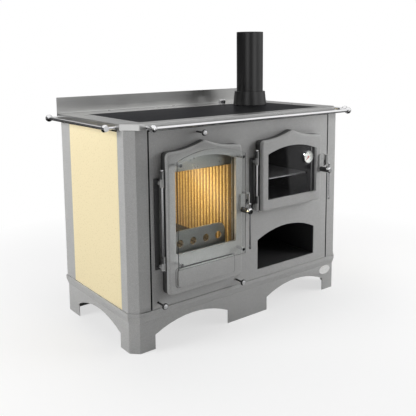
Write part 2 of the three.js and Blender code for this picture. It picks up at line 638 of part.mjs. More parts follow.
// ================================================================ rails
// A rail with a ball at each end and two arms. It is drawn along +X from one ball's centre to the
// other's, with its arms reaching towards +Y, and is turned into place by the caller.
function railSolid(length) {
  const flat = RAIL_BALL_R * RAIL_BALL_FLAT;
  const steps = 4;
  const startAngle = Math.asin(RAIL_BALL_FLAT);
  const profile = [[0, -flat]];
  for (let i = 0; i <= steps; i += 1) {
    const angle = -startAngle + (startAngle + Math.PI / 3) * (i / steps);
    profile.push([RAIL_BALL_R * Math.cos(angle), RAIL_BALL_R * Math.sin(angle)]);
  }
  profile.push([0, profile.at(-1)[1]]);
  const ball = alongX(turned(profile, 16), 0, 0, 0);
  const reach = RAIL_OUT - GAP;
  const arm = turned([
    [0, 0], [RAIL_ARM_R, 0], [RAIL_ARM_R, reach - RAIL_FOOT_T], [RAIL_FOOT_R, reach - RAIL_FOOT_T],
    [RAIL_FOOT_R, reach], [0, reach],
  ], 12).rotate([-90, 0, 0]);
  const fitting = join(ball, arm);
  return join(rodX(0, 0, RAIL_R, [0, length], 14), fitting, fitting.mirror([1, 0, 0]).translate([length, 0, 0]));
}

function makeRails() {
  const z = RAIL_Z;
  place('rail_front', railSolid(FRONT_RAIL_X[1] - FRONT_RAIL_X[0])
    .translate([FRONT_RAIL_X[0], -HOB_OVERHANG - RAIL_OUT, z]), MAT.chrome());
  // turned to run along +Y the arms point to -X, which suits the right side; the left is its mirror image
  const x = HOB_HALF + RAIL_OUT;
  const along = ([start, end]) => railSolid(end - start).rotate([0, 0, 90]).translate([x, start, z]);
  place('rail_left', along(LEFT_RAIL_Y).mirror([1, 0, 0]), MAT.chrome());
  place('rail_right', along(RIGHT_RAIL_Y), MAT.chrome());
}

// ================================================================ pull rods
function pullPositions() {
  return [
    { name: 'bypass_damper_pull', x: PULL_X, z: PULL_HIGH_Z, plateZ: FIREBOX_TOP + GAP + SMOKE.wall + GAP },
    { name: 'primary_air_pull', x: PULL_X - PULL_SPREAD, z: PULL_LOW_Z, plateZ: BASE_TOP + GAP },
    { name: 'secondary_air_pull', x: PULL_X + PULL_SPREAD, z: PULL_LOW_Z, plateZ: BASE_TOP + GAP },
  ];
}

function makePulls() {
  for (const { name, x, z, plateZ } of pullPositions()) {
    const shutterBack = SHUTTER_Y + SHUTTER_L;
    // a waist behind and a domed front
    const knob = alongFront(turned([
      [0, 0], [PULL_KNOB_R * 0.75, 0], [PULL_KNOB_R, PULL_KNOB_T * 0.3], [PULL_KNOB_R, PULL_KNOB_T * 0.5],
      [PULL_KNOB_R * 0.88, PULL_KNOB_T * 0.76], [PULL_KNOB_R * 0.6, PULL_KNOB_T * 0.94], [0, PULL_KNOB_T],
    ], 18), x, -PULL_OUT, z);
    const rod = rodY(x, z, PULL_ROD_R, [-PULL_OUT - 2, shutterBack - PULL_LUG[1]], 12);
    const shutter = box(around(x, SHUTTER_W / 2), [SHUTTER_Y, shutterBack], [plateZ, plateZ + SHUTTER_T]);
    const lug = box(around(x, PULL_ROD_R), [shutterBack - PULL_LUG[0], shutterBack - PULL_LUG[1]], [plateZ, z]);
    place(name, join(knob, rod, shutter, lug), MAT.chrome());
  }
}

// ================================================================ firebox
function makeFirebox() {
  const outerHalf = FIREBOX_HALF + FIREBOX_WALL;
  const front = PANEL + GAP;
  const floor = FIRE_MOUTH_BOTTOM - FIREBOX_WALL;
  const outer = box(around(FIRE_X, outerHalf), [front, FIREBOX_BACK + FIREBOX_WALL], [floor, FIREBOX_TOP]);
  const inner = box(around(FIRE_X, FIREBOX_HALF), [front + FIREBOX_WALL, FIREBOX_BACK],
    [FIRE_MOUTH_BOTTOM, FIREBOX_TOP + EPS]);
  const mouth = upright(mouthShape(FIRE_X, FIRE_MOUTH_BOTTOM, FIRE_WINDOW_SPRING), [0, front + 2 * FIREBOX_WALL]);
  const ledge = cut(
    box(around(FIRE_X, FIREBOX_HALF + EPS), [front + EPS, FIREBOX_BACK + EPS], [LEDGE_Z - LEDGE_T, LEDGE_Z]),
    box(around(FIRE_X, FIREBOX_HALF - LEDGE_W), [front + LEDGE_FRONT_W, FIREBOX_BACK - LEDGE_W],
      [LEDGE_Z - LEDGE_T - EPS, LEDGE_Z + EPS]));
  const feet = [-1, 1].map((side) => box(
    around(FIRE_X + side * FIREBOX_FOOT_X, FIREBOX_FOOT_T / 2),
    [front + FIREBOX_FOOT_INSET[0], FIREBOX_BACK - FIREBOX_FOOT_INSET[1]], [BASE_TOP + GAP, floor + EPS]));
  const airHole = box(around(FIRE_X, AIR_HOLE.half), around(FIREBOX_BACK / 2, AIR_HOLE.length / 2),
    [floor - EPS, FIRE_MOUTH_BOTTOM + EPS]);
  place('firebox_shell', cut(join(cut(outer, inner, mouth), ledge, feet), airHole), MAT.darkSteel());
}

// ribbed slab in plan: flat on the side y = 0, ribs on the other, from 0 to length along x
const ribbedShape = (length, thickness) => {
  const count = Math.floor(length / RIB_PITCH);
  const margin = (length - count * RIB_PITCH) / 2;
  const valley = thickness - RIB_DEPTH;
  const points = [[0, 0], [length, 0], [length, valley]];
  for (let i = count - 1; i >= 0; i -= 1) {
    const start = margin + i * RIB_PITCH;
    points.push([start + RIB_PITCH * 0.82, valley], [start + RIB_PITCH * 0.66, thickness]);
    points.push([start + RIB_PITCH * 0.34, thickness], [start + RIB_PITCH * 0.18, valley]);
  }
  points.push([0, valley]);
  return polygon(points);
};

function makeLinings() {
  const z = [LEDGE_Z + GAP, LINING_TOP];
  const sideLength = FIREBOX_BACK - GAP - LINING_T - GAP - LINING_FRONT;
  const side = plan(ribbedShape(sideLength, LINING_T), z);
  const wallX = FIREBOX_HALF - GAP;
  // left wall: ribs face +X; right wall: the same slab mirrored
  const left = side.rotate([0, 0, 90]).mirror([1, 0, 0]).translate([-wallX, LINING_FRONT, 0]);
  place('lining_left', left.translate([FIRE_X, 0, 0]), MAT.vermiculite());
  place('lining_right', left.mirror([1, 0, 0]).translate([FIRE_X, 0, 0]), MAT.vermiculite());
  const back = plan(ribbedShape(2 * wallX, LINING_T), z).mirror([0, 1, 0]);
  place('lining_back', back.translate([FIRE_X - wallX, FIREBOX_BACK - GAP, 0]), MAT.vermiculite());
}

function makeFireboxFittings() {
  const bottom = LEDGE_Z + GAP;
  const grateHalf = FIREBOX_HALF - GAP - LINING_T - 2 * GAP;
  const grateY = [GUARD.y + GUARD.t + GAP, FIREBOX_BACK - GAP - LINING_T - 2 * GAP];
  const slots = [];
  const step = 2 * (grateHalf - GRATE_RIM.side) / GRATE_SLOTS;
  const middle = (grateY[0] + grateY[1]) / 2;
  const rows = [
    [grateY[0] + GRATE_RIM.front, middle - GRATE_WEB / 2], [middle + GRATE_WEB / 2, grateY[1] - GRATE_RIM.back]];
  for (let i = 0; i < GRATE_SLOTS; i += 1) {
    const x = FIRE_X - grateHalf + GRATE_RIM.side + step * (i + 0.5);
    for (const y of rows) {
      slots.push(box(around(x, GRATE_SLOT_W / 2), y, [bottom - EPS, bottom + GRATE_T + EPS]));
    }
  }
  place('grate', cut(box(around(FIRE_X, grateHalf), grateY, [bottom, bottom + GRATE_T]), slots), MAT.castIron());

  const { half, front, back, height, wall, lipHalf, lip: lipDepth } = ASH_PAN;
  const panZ = FIRE_MOUTH_BOTTOM + GAP;
  const pan = cut(
    box(around(FIRE_X, half), [front, back], [panZ, panZ + height]),
    box(around(FIRE_X, half - wall), [front + wall, back - wall], [panZ + wall, panZ + height + EPS]));
  const lip = box(around(FIRE_X, lipHalf), [front - lipDepth, front + EPS], [panZ + height - wall, panZ + height]);
  place('ash_pan', join(pan, lip), MAT.galvanised());

  const guard = new THREE.Shape();
  guard.moveTo(FIRE_X - GUARD.half, bottom);
  guard.lineTo(FIRE_X + GUARD.half, bottom);
  guard.lineTo(FIRE_X + GUARD.half, GUARD.top - GUARD.corner);
  guard.quadraticCurveTo(FIRE_X + GUARD.half, GUARD.top, FIRE_X + GUARD.half - GUARD.corner, GUARD.top);
  guard.lineTo(FIRE_X - GUARD.half + GUARD.corner, GUARD.top);
  guard.quadraticCurveTo(FIRE_X - GUARD.half, GUARD.top, FIRE_X - GUARD.half, GUARD.top - GUARD.corner);
  for (let i = 0; i < 4; i += 1) {
    const hole = new THREE.Path();
    hole.absarc(FIRE_X + (i - 1.5) * GUARD.pitch, GUARD.holeZ, GUARD.holeR, 0, 2 * Math.PI, true);
    guard.holes.push(hole);
  }
  place('ember_guard', upright(guard, [GUARD.y, GUARD.y + GUARD.t]), MAT.stainless());

  const wash = AIR_WASH;
  place('air_wash_plate', box(around(FIRE_X, FIREBOX_HALF - GAP), [wash.y, wash.y + wash.t], [wash.bottom, wash.top]),
    MAT.castIron());

  const baffleZ = LINING_TOP + GAP;
  const baffleBack = FIREBOX_BACK - GAP;
  const profile = polygon([
    [BAFFLE.front, baffleZ + BAFFLE.rise], [BAFFLE.front + BAFFLE.run, baffleZ], [baffleBack, baffleZ],
    [baffleBack, baffleZ + BAFFLE.t], [BAFFLE.front + BAFFLE.run + 2, baffleZ + BAFFLE.t],
    [BAFFLE.front, baffleZ + BAFFLE.rise + BAFFLE.t],
  ]);
  place('baffle', sideways(profile, around(FIRE_X, FIREBOX_HALF - GAP)), MAT.castIron());
}

function makeSmokeChannel() {
  const z = [FIREBOX_TOP + GAP, PLATE_BOTTOM - GAP];
  const shell = cut(
    box(around(0, SMOKE.half), [SMOKE.front, SMOKE.back], z),
    box(around(0, SMOKE.half - SMOKE.wall), [SMOKE.front + SMOKE.wall, SMOKE.back - SMOKE.wall],
      [z[0] + SMOKE.wall, z[1] + EPS]),
    box(around(FIRE_X, SMOKE.portHalf), [SHUTTER_Y + SHUTTER_L + 10, SMOKE.port[1]], [z[0] - EPS, z[0] + SMOKE.wall + EPS]),
    box(around(PULL_X, PORT_W / 2), around(SHUTTER_Y + SHUTTER_L / 2, PORT_L / 2), [z[0] - EPS, z[0] + SMOKE.wall + EPS]),
    rodY(PULL_X, PULL_HIGH_Z, PULL_ROD_R + GAP, [SMOKE.front - EPS, SMOKE.front + SMOKE.wall + EPS], 12));
  place('smoke_channel', shell, MAT.darkSteel());
}

// ================================================================ oven and niche
function makeOven() {
  const half = WINDOW_HALF + MOUTH_LAP + OVEN_SIDE_GAP;
  const front = PANEL + GAP;
  const floor = OVEN_MOUTH_BOTTOM;
  const shell = cut(
    box(around(OVEN_X, half + OVEN_WALL), [front, OVEN_DEPTH + OVEN_WALL], [floor - OVEN_WALL, OVEN_ROOF + OVEN_WALL]),
    box(around(OVEN_X, half), [front + OVEN_WALL, OVEN_DEPTH], [floor, OVEN_ROOF]),
    upright(mouthShape(OVEN_X, floor, OVEN_WINDOW_SPRING), [0, front + 2 * OVEN_WALL]).intersect(
      box(around(OVEN_X, half), [0, front + 2 * OVEN_WALL], [floor - EPS, OVEN_ROOF])));
  const nicheTop = NICHE_PEAK + NICHE_LAP + NICHE_WALL + GAP;
  const legs = [-1, 1].map((side) => box(
    around(OVEN_X + side * (half + OVEN_WALL / 2 - OVEN_LEG_INSET[0]), OVEN_WALL / 2),
    [front + OVEN_LEG_INSET[1], OVEN_DEPTH - OVEN_LEG_INSET[1]], [nicheTop, floor - OVEN_WALL + EPS]));

  // rack runners: a channel pressed on each side wall
  const runnerY = [front + RUNNER_INSET[0], OVEN_DEPTH - RUNNER_INSET[1]];
  const lowZ = RACK_Z - RACK_WIRE_R - GAP;
  const highZ = RACK_Z + RACK_WIRE_R + GAP;
  const runners = [-1, 1].flatMap((side) => [[lowZ - RUNNER_T, lowZ], [highZ, highZ + RUNNER_T]].map((z) => {
    const x = [OVEN_X + side * (half + EPS), OVEN_X + side * (half - RUNNER_W)];
    return box([Math.min(...x), Math.max(...x)], runnerY, z);
  }));
  place('oven_box', join(shell, legs, runners), MAT.enamelBlack());

  const rackHalf = half - 2 * GAP - RACK_WIRE_R;
  const rackY = [front + RACK_INSET[0], OVEN_DEPTH - RACK_INSET[1]];
  const side = [-1, 1].map((s) => rodY(OVEN_X + s * rackHalf, RACK_Z, RACK_WIRE_R, rackY, 6));
  const ends = rackY.map((y) => rodX(y, RACK_Z, RACK_WIRE_R, around(OVEN_X, rackHalf), 6));
  const bars = [];
  for (let i = 1; i < RACK_BARS; i += 1) {
    const x = OVEN_X - rackHalf + (2 * rackHalf * i) / RACK_BARS;
    bars.push(rodY(x, RACK_Z, RACK_WIRE_R * 0.8, rackY, 5));
  }
  place('oven_rack', join(side, ends, bars), MAT.chrome());
}

function makeNiche() {
  const half = NICHE_HALF + NICHE_LAP;
  const front = PANEL + GAP;
  const roof = NICHE_PEAK + NICHE_LAP;
  const shell = cut(
    box(around(NICHE_X, half + NICHE_WALL), [front, NICHE_DEPTH + NICHE_WALL], [BASE_TOP + GAP, roof + NICHE_WALL]),
    box(around(NICHE_X, half), [front - EPS, NICHE_DEPTH], [NICHE_BOTTOM - 1, roof]),
    box(around(NICHE_X, half), [front - EPS, NICHE_DEPTH + 2 * NICHE_WALL], [BASE_TOP, NICHE_BOTTOM - 1 - NICHE_WALL]));
  place('wood_niche', shell, MAT.darkSteel());
}

// ================================================================ doors
// outline of a door in X and Z, with an ogee on top: level at the shoulders, pointed in the middle
const doorShape = (cx, bottom) => {
  const half = DOOR_W / 2;
  const r = DOOR_CORNER;
  const level = DOOR_SHOULDER;
  const shape = new THREE.Shape();
  shape.moveTo(cx - half + r, bottom);
  shape.lineTo(cx + half - r, bottom);
  bend(shape, [cx + half, bottom], [cx + half, bottom + r], 4);
  shape.lineTo(cx + half, level - r);
  bend(shape, [cx + half, level], [cx + half - r, level], 4);
  bend(shape, [cx + half * DOOR_OGEE, level], [cx, DOOR_PEAK], 7);
  bend(shape, [cx - half * DOOR_OGEE, level], [cx - half + r, level], 7);
  bend(shape, [cx - half, level], [cx - half, level - r], 4);
  shape.lineTo(cx - half, bottom + r);
  bend(shape, [cx - half, bottom], [cx - half + r, bottom], 4);
  return shape;
};

// Everything on a door is drawn from its hinge axis: x to the free edge, y to the back, z from the floor.
function makeDoor({
  name, hingeX, bottom, raised, windowBottom, windowSpring, sealBottom, barrels, spindleX, spindleZ, glass,
}) {
  const door = new THREE.Group();
  door.name = `${name}_door`;
  door.position.set(hingeX, HINGE_Y, 0);
  stove.add(door);
  const cx = DOOR_CENTRE;
  const peak = windowSpring + WINDOW_RISE;
  const windowShape = (lap, low = windowBottom) => archShape(
    cx, WINDOW_HALF + lap, low - lap, windowSpring + lap, peak + lap, WINDOW_CORNER);

  // cast frame with a rounded front edge, a window, a rebate for the glass and a groove for the rope
  const nose = {
    bevelEnabled: true, bevelThickness: DOOR_NOSE, bevelSize: DOOR_NOSE, bevelOffset: -DOOR_NOSE,
    bevelSegments: 3,
  };
  const block = upright(doorShape(cx, bottom), [LOCAL_FACE + DOOR_NOSE, LOCAL_BACK + DOOR_NOSE], nose).intersect(
    box([0, DOOR_W + 2 * HINGE_OFFSET], [LOCAL_FACE - EPS, LOCAL_BACK], [bottom - EPS, DOOR_PEAK + EPS]));
  const glassFront = LOCAL_FACE + GLASS_RECESS;
  const rebate = upright(windowShape(GLASS_LAP + GAP), [glassFront - GAP, LOCAL_BACK + EPS]);
  const opening = upright(windowShape(0), [LOCAL_FACE - EPS, glassFront + EPS]);
  const sealInner = GLASS_LAP + SEAL_INSET;
  const sealOuter = sealInner + SEAL_W;
  const sealRing = (inner, outer, y) => cut(
    upright(archShape(cx, WINDOW_HALF + outer, sealBottom - (outer - sealInner), windowSpring + outer,
      peak + outer, WINDOW_CORNER), y),
    upright(archShape(cx, WINDOW_HALF + inner, sealBottom - (inner - sealInner), windowSpring + inner,
      peak + inner, WINDOW_CORNER), [y[0] - EPS, y[1] + EPS]));
  const groove = sealRing(sealInner - GAP, sealOuter + GAP, [LOCAL_BACK - SEAL_DEPTH, LOCAL_BACK + EPS]);
  const lugs = [barrels.low, barrels.high].map(([, mid, high]) => join(
    rodZ(0, 0, BARREL_R, [mid + GAP, high], 14),
    box([0, HINGE_OFFSET + 4], around(0, BARREL_R * 0.7), [mid + GAP, high])));
  const hingeBore = rodZ(0, 0, HINGE_ROD_R + GAP, [barrels.low[0], barrels.high[2] + EPS]);
  const spindleBore = rodY(spindleX, spindleZ, SPINDLE_R + GAP, [LOCAL_FACE - EPS, LOCAL_FACE + SPINDLE_BORE_DEPTH]);
  const relief = raised ? [upright(
    roundedShape(around(cx, RAISED_W / 2), raised, RAISED_CORNER),
    [LOCAL_FACE - RAISED_T + RAISED_EDGE, LOCAL_FACE + RAISED_EDGE],
    { ...nose, bevelThickness: RAISED_EDGE, bevelSize: RAISED_EDGE, bevelOffset: -RAISED_EDGE, bevelSegments: 2 },
  )] : [];
  const frame = cut(join(cut(block, rebate, opening, groove), lugs, relief), hingeBore, spindleBore);
  place(`${name}_door_frame`, frame, MAT.greyPaint(), door);

  let pane = upright(windowShape(GLASS_LAP), [glassFront, glassFront + GLASS_T]);
  if (glass.hole) pane = cut(pane, rodY(cx + glass.hole.x, glass.hole.z, glass.hole.r, [-DOOR_T, DOOR_T], 12));
  place(`${name}_door_glass`, pane, glass.material(), door);

  place(`${name}_door_seal`, sealRing(sealInner, sealOuter, [LOCAL_BACK - SEAL_DEPTH + GAP, LOCAL_BACK + DOOR_GAP - GAP]),
    MAT.rope(), door);

  // chrome hinge rod with a cap at each end
  const rodEnds = [barrels.low[0] - GAP, barrels.high[2] + GAP];
  const hingeRod = join(
    rodZ(0, 0, HINGE_ROD_R, rodEnds),
    rodZ(0, 0, HINGE_CAP_R, [rodEnds[0] - HINGE_CAP_H, rodEnds[0]]),
    rodZ(0, 0, HINGE_CAP_R, [rodEnds[1], rodEnds[1] + HINGE_CAP_H]));
  place(`${name}_hinge_rod`, hingeRod, MAT.chrome(), door);
  makeLatchCase(name, door, spindleX, spindleZ);
  makeHingeMount(name, hingeX, barrels);
  makeKeeper(name, hingeX + spindleX, spindleZ);
  return door;
}

// the fixed half of a hinge: a strip on the front panel with an arm and a barrel at each end
function makeHingeMount(name, hingeX, barrels) {
  const z = [barrels.low[0], barrels.high[1]];
  const strip = box(around(HINGE_STRIP_X, HINGE_STRIP_W / 2), [-GAP - HINGE_STRIP_T, -GAP], z);
  const stripFace = -GAP - HINGE_STRIP_T / 2;
  const arms = [barrels.low, barrels.high].map(([low, mid]) => {
    const middle = (low + mid) / 2;
    const arm = polygon([
      [HINGE_ARM_X[0], stripFace], [HINGE_ARM_X[1], stripFace],
      [BARREL_R * 0.4, HINGE_Y + BARREL_R * 0.5], [-BARREL_R * 0.8, HINGE_Y],
    ]);
    return join(rodZ(0, HINGE_Y, BARREL_R, [low, mid], 14), plan(arm, around(middle, HINGE_ARM_H / 2)));
  });
  const bore = rodZ(0, HINGE_Y, HINGE_ROD_R + GAP, [z[0] - EPS, z[1] + EPS]);
  place(`${name}_hinge_mount`, cut(join(strip, arms), bore).translate([hingeX, 0, 0]), MAT.greyPaint());
}

// latch case on the door: a shallow cover with a slot in its side for the blade
function makeLatchCase(name, door, spindleX, spindleZ) {
  const x = [spindleX - CASE_LEFT, spindleX - CASE_LEFT + CASE_W];
  const y = [LOCAL_FACE - GAP - CASE_DEPTH, LOCAL_FACE - GAP];
  const z = [spindleZ - CASE_BELOW, spindleZ + CASE_ABOVE];
  const shrink = ([a, b]) => [a + CASE_WALL, b - CASE_WALL];
  const hollow = box(shrink(x), [y[0] + CASE_WALL, y[1] + EPS], shrink(z));
  const slot = box([x[1] - 2 * CASE_WALL, x[1] + EPS], [y[0] + CASE_WALL, y[1] + EPS],
    [spindleZ + BLADE_HALF, z[1] - 2 * CASE_WALL]);
  const bore = rodY(spindleX, spindleZ, SPINDLE_R + GAP, [y[0] - EPS, y[1] + EPS]);
  place(`${name}_latch_case`, cut(box(x, y, z), hollow, slot, bore), MAT.greyPaint(), door);
}

// keeper on the front panel: a post with a pocket for the tip of the blade
function makeKeeper(name, spindleX, spindleZ) {
  const left = spindleX - CASE_LEFT + CASE_W + KEEPER_GAP;
  const front = DOOR_FACE - CASE_DEPTH - GAP;
  const z = [spindleZ + KEEPER_LOW, spindleZ + KEEPER_HIGH];
  const post = box([left, left + KEEPER_W], [front, -GAP], z);
  const foot = box([left - 2, left + KEEPER_W + 6], [-GAP - KEEPER_FOOT_T, -GAP], [z[0] - 8, z[1] + 8]);
  const pocket = box([left - EPS, left + KEEPER_POCKET], [front - EPS, DOOR_FACE + EPS],
    [z[0] + 4, z[1] - 4]);
  place(`${name}_keeper`, join(cut(post, pocket), foot), MAT.greyPaint());
}

// handle: spindle with its blade, and the lever that hangs from it; drawn from the hinge axis
function makeHandle(name, door, spindleX, spindleZ, drop) {
  const handle = new THREE.Group();
  handle.name = `${name}_handle`;
  handle.position.set(spindleX, 0, spindleZ);
  door.add(handle);
  const hubY = around(LOCAL_FACE - LEVER_OUT, LEVER_HUB_L / 2);
  const hubDepth = LEVER_HUB_L * 0.6;
  const caseFront = LOCAL_FACE - GAP - CASE_DEPTH;
  const bladeY = around(LOCAL_FACE - GAP - (CASE_DEPTH - CASE_WALL) / 2, BLADE_T / 2);
  const spindle = rodY(0, 0, SPINDLE_R, [hubY[1] - hubDepth + GAP, LOCAL_FACE + SPINDLE_BORE_DEPTH - GAP]);
  const sleeve = rodY(0, 0, SLEEVE_R, [hubY[1] + GAP, caseFront - GAP], 16);
  const blade = upright(roundedShape([0, BLADE_LENGTH], around(0, BLADE_HALF), BLADE_HALF - 1), bladeY)
    .rotate([0, -BLADE_ANGLE, 0]);
  place(`${name}_spindle`, join(spindle, sleeve, blade), MAT.darkSteel(), handle);

  const leverY = LOCAL_FACE - LEVER_OUT;
  const rodTop = LEVER_TOP - LEVER_TIP_L / 2;
  const lever = turned([
    [0, 0], [LEVER_TIP_R - 1.5, 0], [LEVER_TIP_R, 2], [LEVER_TIP_R, LEVER_TIP_L - 3], [LEVER_R, LEVER_TIP_L],
    [LEVER_R, drop + rodTop], [LEVER_TIP_R, drop + rodTop + 2], [LEVER_TIP_R, drop + LEVER_TOP - 2],
    [LEVER_TIP_R - 1.5, drop + LEVER_TOP], [0, drop + LEVER_TOP],
  ], 12).translate([0, leverY, -drop]);
  const hub = alongFront(turned([
    [0, 0], [LEVER_HUB_R - 2, 0], [LEVER_HUB_R, 3], [LEVER_HUB_R, LEVER_HUB_L - 4],
    [LEVER_HUB_R - 4, LEVER_HUB_L], [0, LEVER_HUB_L],
  ], 18), 0, hubY[1], 0);
  const bore = rodY(0, 0, SPINDLE_R + GAP, [hubY[1] - hubDepth, hubY[1] + EPS]);
  place(`${name}_lever`, cut(join(lever, hub), bore), MAT.chrome(), handle);
}

// ================================================================ fire door
function makeFireDoor() {
  const hingeX = FIRE_X - DOOR_CENTRE;
  const door = makeDoor({
    name: 'fire', hingeX, bottom: FIRE_BOTTOM, raised: RAISED_Z, windowBottom: FIRE_WINDOW_BOTTOM,
    windowSpring: FIRE_WINDOW_SPRING, sealBottom: FIRE_MOUTH_BOTTOM - 2, barrels: FIRE_BARRELS,
    spindleX: FIRE_SPINDLE_X, spindleZ: FIRE_SPINDLE_Z, glass: { material: MAT.glass },
  });
  makeHandle('fire', door, FIRE_SPINDLE_X, FIRE_SPINDLE_Z, FIRE_LEVER_DROP);

  const pinSpots = [];
  for (const side of [-1, 1]) {
    for (const z of [PIN_LOW, PIN_HIGH]) pinSpots.push([DOOR_CENTRE + side * PIN_HALF, z]);
  }
  const paneBack = LOCAL_FACE - PANE_STANDOFF;
  const pane = upright(
    archShape(DOOR_CENTRE, PANE_HALF, PANE_BOTTOM, PANE_SPRING, PANE_PEAK), [paneBack - PANE_T, paneBack]);
  const studHoles = pinSpots.map(([x, z]) => rodY(x, z, PIN_STUD_R + GAP, [paneBack - 2 * PANE_T, paneBack + EPS], 12));
  place('outer_pane', cut(pane, studHoles), MAT.glass(), door);

  const spacer = PANE_STANDOFF - 2 * GAP;
  const capStart = spacer + PANE_T + 2 * GAP;
  const pin = turned([
    [0, 0], [PIN_R, 0], [PIN_R, spacer], [PIN_STUD_R, spacer], [PIN_STUD_R, capStart],
    [PIN_CAP_R, capStart], [PIN_CAP_R, capStart + PIN_CAP_T], [0, capStart + PIN_CAP_T],
  ], 10);
  const corners = ['lower_left', 'upper_left', 'lower_right', 'upper_right'];
  pinSpots.forEach(([x, z], i) => {
    place(`pane_pin_${corners[i]}`, alongFront(pin, x, LOCAL_FACE - GAP, z), MAT.chrome(), door);
  });
}

// ================================================================ oven door
function makeOvenDoor() {
  const hingeX = OVEN_X - DOOR_CENTRE;
  const door = makeDoor({
    name: 'oven', hingeX, bottom: OVEN_BOTTOM, windowBottom: OVEN_WINDOW_BOTTOM,
    windowSpring: OVEN_WINDOW_SPRING, sealBottom: OVEN_MOUTH_BOTTOM - 2, barrels: OVEN_BARRELS,
    spindleX: OVEN_SPINDLE_X, spindleZ: OVEN_SPINDLE_Z,
    glass: { material: MAT.ovenGlass, hole: { x: DIAL_X, z: DIAL_Z, r: DIAL_STEM_R + GAP } },
  });
  makeHandle('oven', door, OVEN_SPINDLE_X, OVEN_SPINDLE_Z, OVEN_LEVER_DROP);

  const glassFront = LOCAL_FACE + GLASS_RECESS - GAP;
  const x = DOOR_CENTRE + DIAL_X;
  const cup = DIAL_R - DIAL_BEZEL;
  const backStop = GLASS_T + 2 * GAP;
  const gauge = turned([
    [0, -DIAL_STEM_L], [DIAL_STEM_R - 2, -DIAL_STEM_L], [DIAL_STEM_R - 2, -backStop - 4], [9, -backStop - 4],
    [9, -backStop], [DIAL_STEM_R, -backStop], [DIAL_STEM_R, 0], [DIAL_R, 0], [DIAL_R, DIAL_DEPTH],
    [cup, DIAL_DEPTH], [cup, DIAL_DEPTH - DIAL_CUP], [0, DIAL_DEPTH - DIAL_CUP],
  ], 24);
  place('thermometer', alongFront(gauge, x, glassFront, DIAL_Z), MAT.chrome(), door);

  const needle = new THREE.Group();
  needle.name = 'thermometer_pointer';
  needle.position.set(x, glassFront - DIAL_DEPTH + DIAL_CUP - GAP, DIAL_Z);
  needle.rotation.y = -THREE.MathUtils.degToRad(NEEDLE_ANGLE);
  door.add(needle);
  const arrow = polygon([
    [-NEEDLE_TAIL, -NEEDLE_HALF], [0, -NEEDLE_HALF * 1.4], [NEEDLE_L, -0.3], [NEEDLE_L, 0.3],
    [0, NEEDLE_HALF * 1.4], [-NEEDLE_TAIL, NEEDLE_HALF],
  ]);
  place('thermometer_needle', join(
    upright(arrow, [-NEEDLE_T, 0]), rodY(0, 0, NEEDLE_HUB_R, [-NEEDLE_T - 0.8, 0], 14)), MAT.red(), needle);
}

// ================================================================ build
makePlinth();
makeCornice();
makeBasePlate();
makePosts();
makeSidePanels();
makeRearCasing();
makeFrontPanel();
makeHob();
makeHobKnob();
makeFlue();
makeRails();
makeFirebox();
makeLinings();
makeFireboxFittings();
makeSmokeChannel();
makeOven();
makeNiche();
makePulls();
makeFireDoor();
makeOvenDoor();

stove.position.set(0, -ORIGIN_Y, 0);

export default stove;
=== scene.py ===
"""Looks of a wood-burning cookstove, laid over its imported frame: finishes, dial, trim, screws and studio."""
import json
import math

import bmesh
import bpy
from bpy.props import FloatProperty, FloatVectorProperty, IntProperty, PointerProperty
from mathutils import Matrix, Vector


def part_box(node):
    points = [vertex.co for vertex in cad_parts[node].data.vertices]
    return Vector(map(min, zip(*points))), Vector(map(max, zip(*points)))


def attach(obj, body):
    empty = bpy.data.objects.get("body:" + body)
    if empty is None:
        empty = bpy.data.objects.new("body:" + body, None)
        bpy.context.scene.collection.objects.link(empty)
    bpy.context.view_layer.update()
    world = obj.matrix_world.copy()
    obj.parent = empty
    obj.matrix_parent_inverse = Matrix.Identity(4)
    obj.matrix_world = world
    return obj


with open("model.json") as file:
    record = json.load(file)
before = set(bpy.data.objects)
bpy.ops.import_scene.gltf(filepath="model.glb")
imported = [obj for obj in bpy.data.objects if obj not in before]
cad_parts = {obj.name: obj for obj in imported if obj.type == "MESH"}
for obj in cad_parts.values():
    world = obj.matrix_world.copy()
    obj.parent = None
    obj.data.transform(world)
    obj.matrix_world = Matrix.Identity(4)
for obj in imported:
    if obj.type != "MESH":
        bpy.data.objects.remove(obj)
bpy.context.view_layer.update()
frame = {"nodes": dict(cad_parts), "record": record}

bl_info = {
    "name": "Cookstove finish",
    "version": (1, 0, 0),
    "blender": (4, 5, 0),
    "location": "3D View > Sidebar > Cookstove",
    "description": "Finishes, dial, trim, screws and studio for a wood-burning cookstove",
    "category": "Object",
}

NODES = frame["nodes"]
SLOT_OF = {part["node"]: part["material_slot"] for part in frame["record"]["subparts"]}
MM = 0.001
WHITE = (1, 1, 1, 1)
RIGHT_ANGLE = math.radians(90)


# ---------------------------------------------------------------- settings
def colour(name, value, description):
    return FloatVectorProperty(
        name=name, description=description, default=value, size=3, min=0, max=1, subtype="COLOR")


def length(name, value, description):
    return FloatProperty(name=name, description=description, default=value, unit="LENGTH", precision=4)


def angle(name, value, description):
    return FloatProperty(name=name, description=description, default=value, subtype="ANGLE")


def power(name, value, description):
    return FloatProperty(name=name, description=description, default=value, min=0, precision=3)


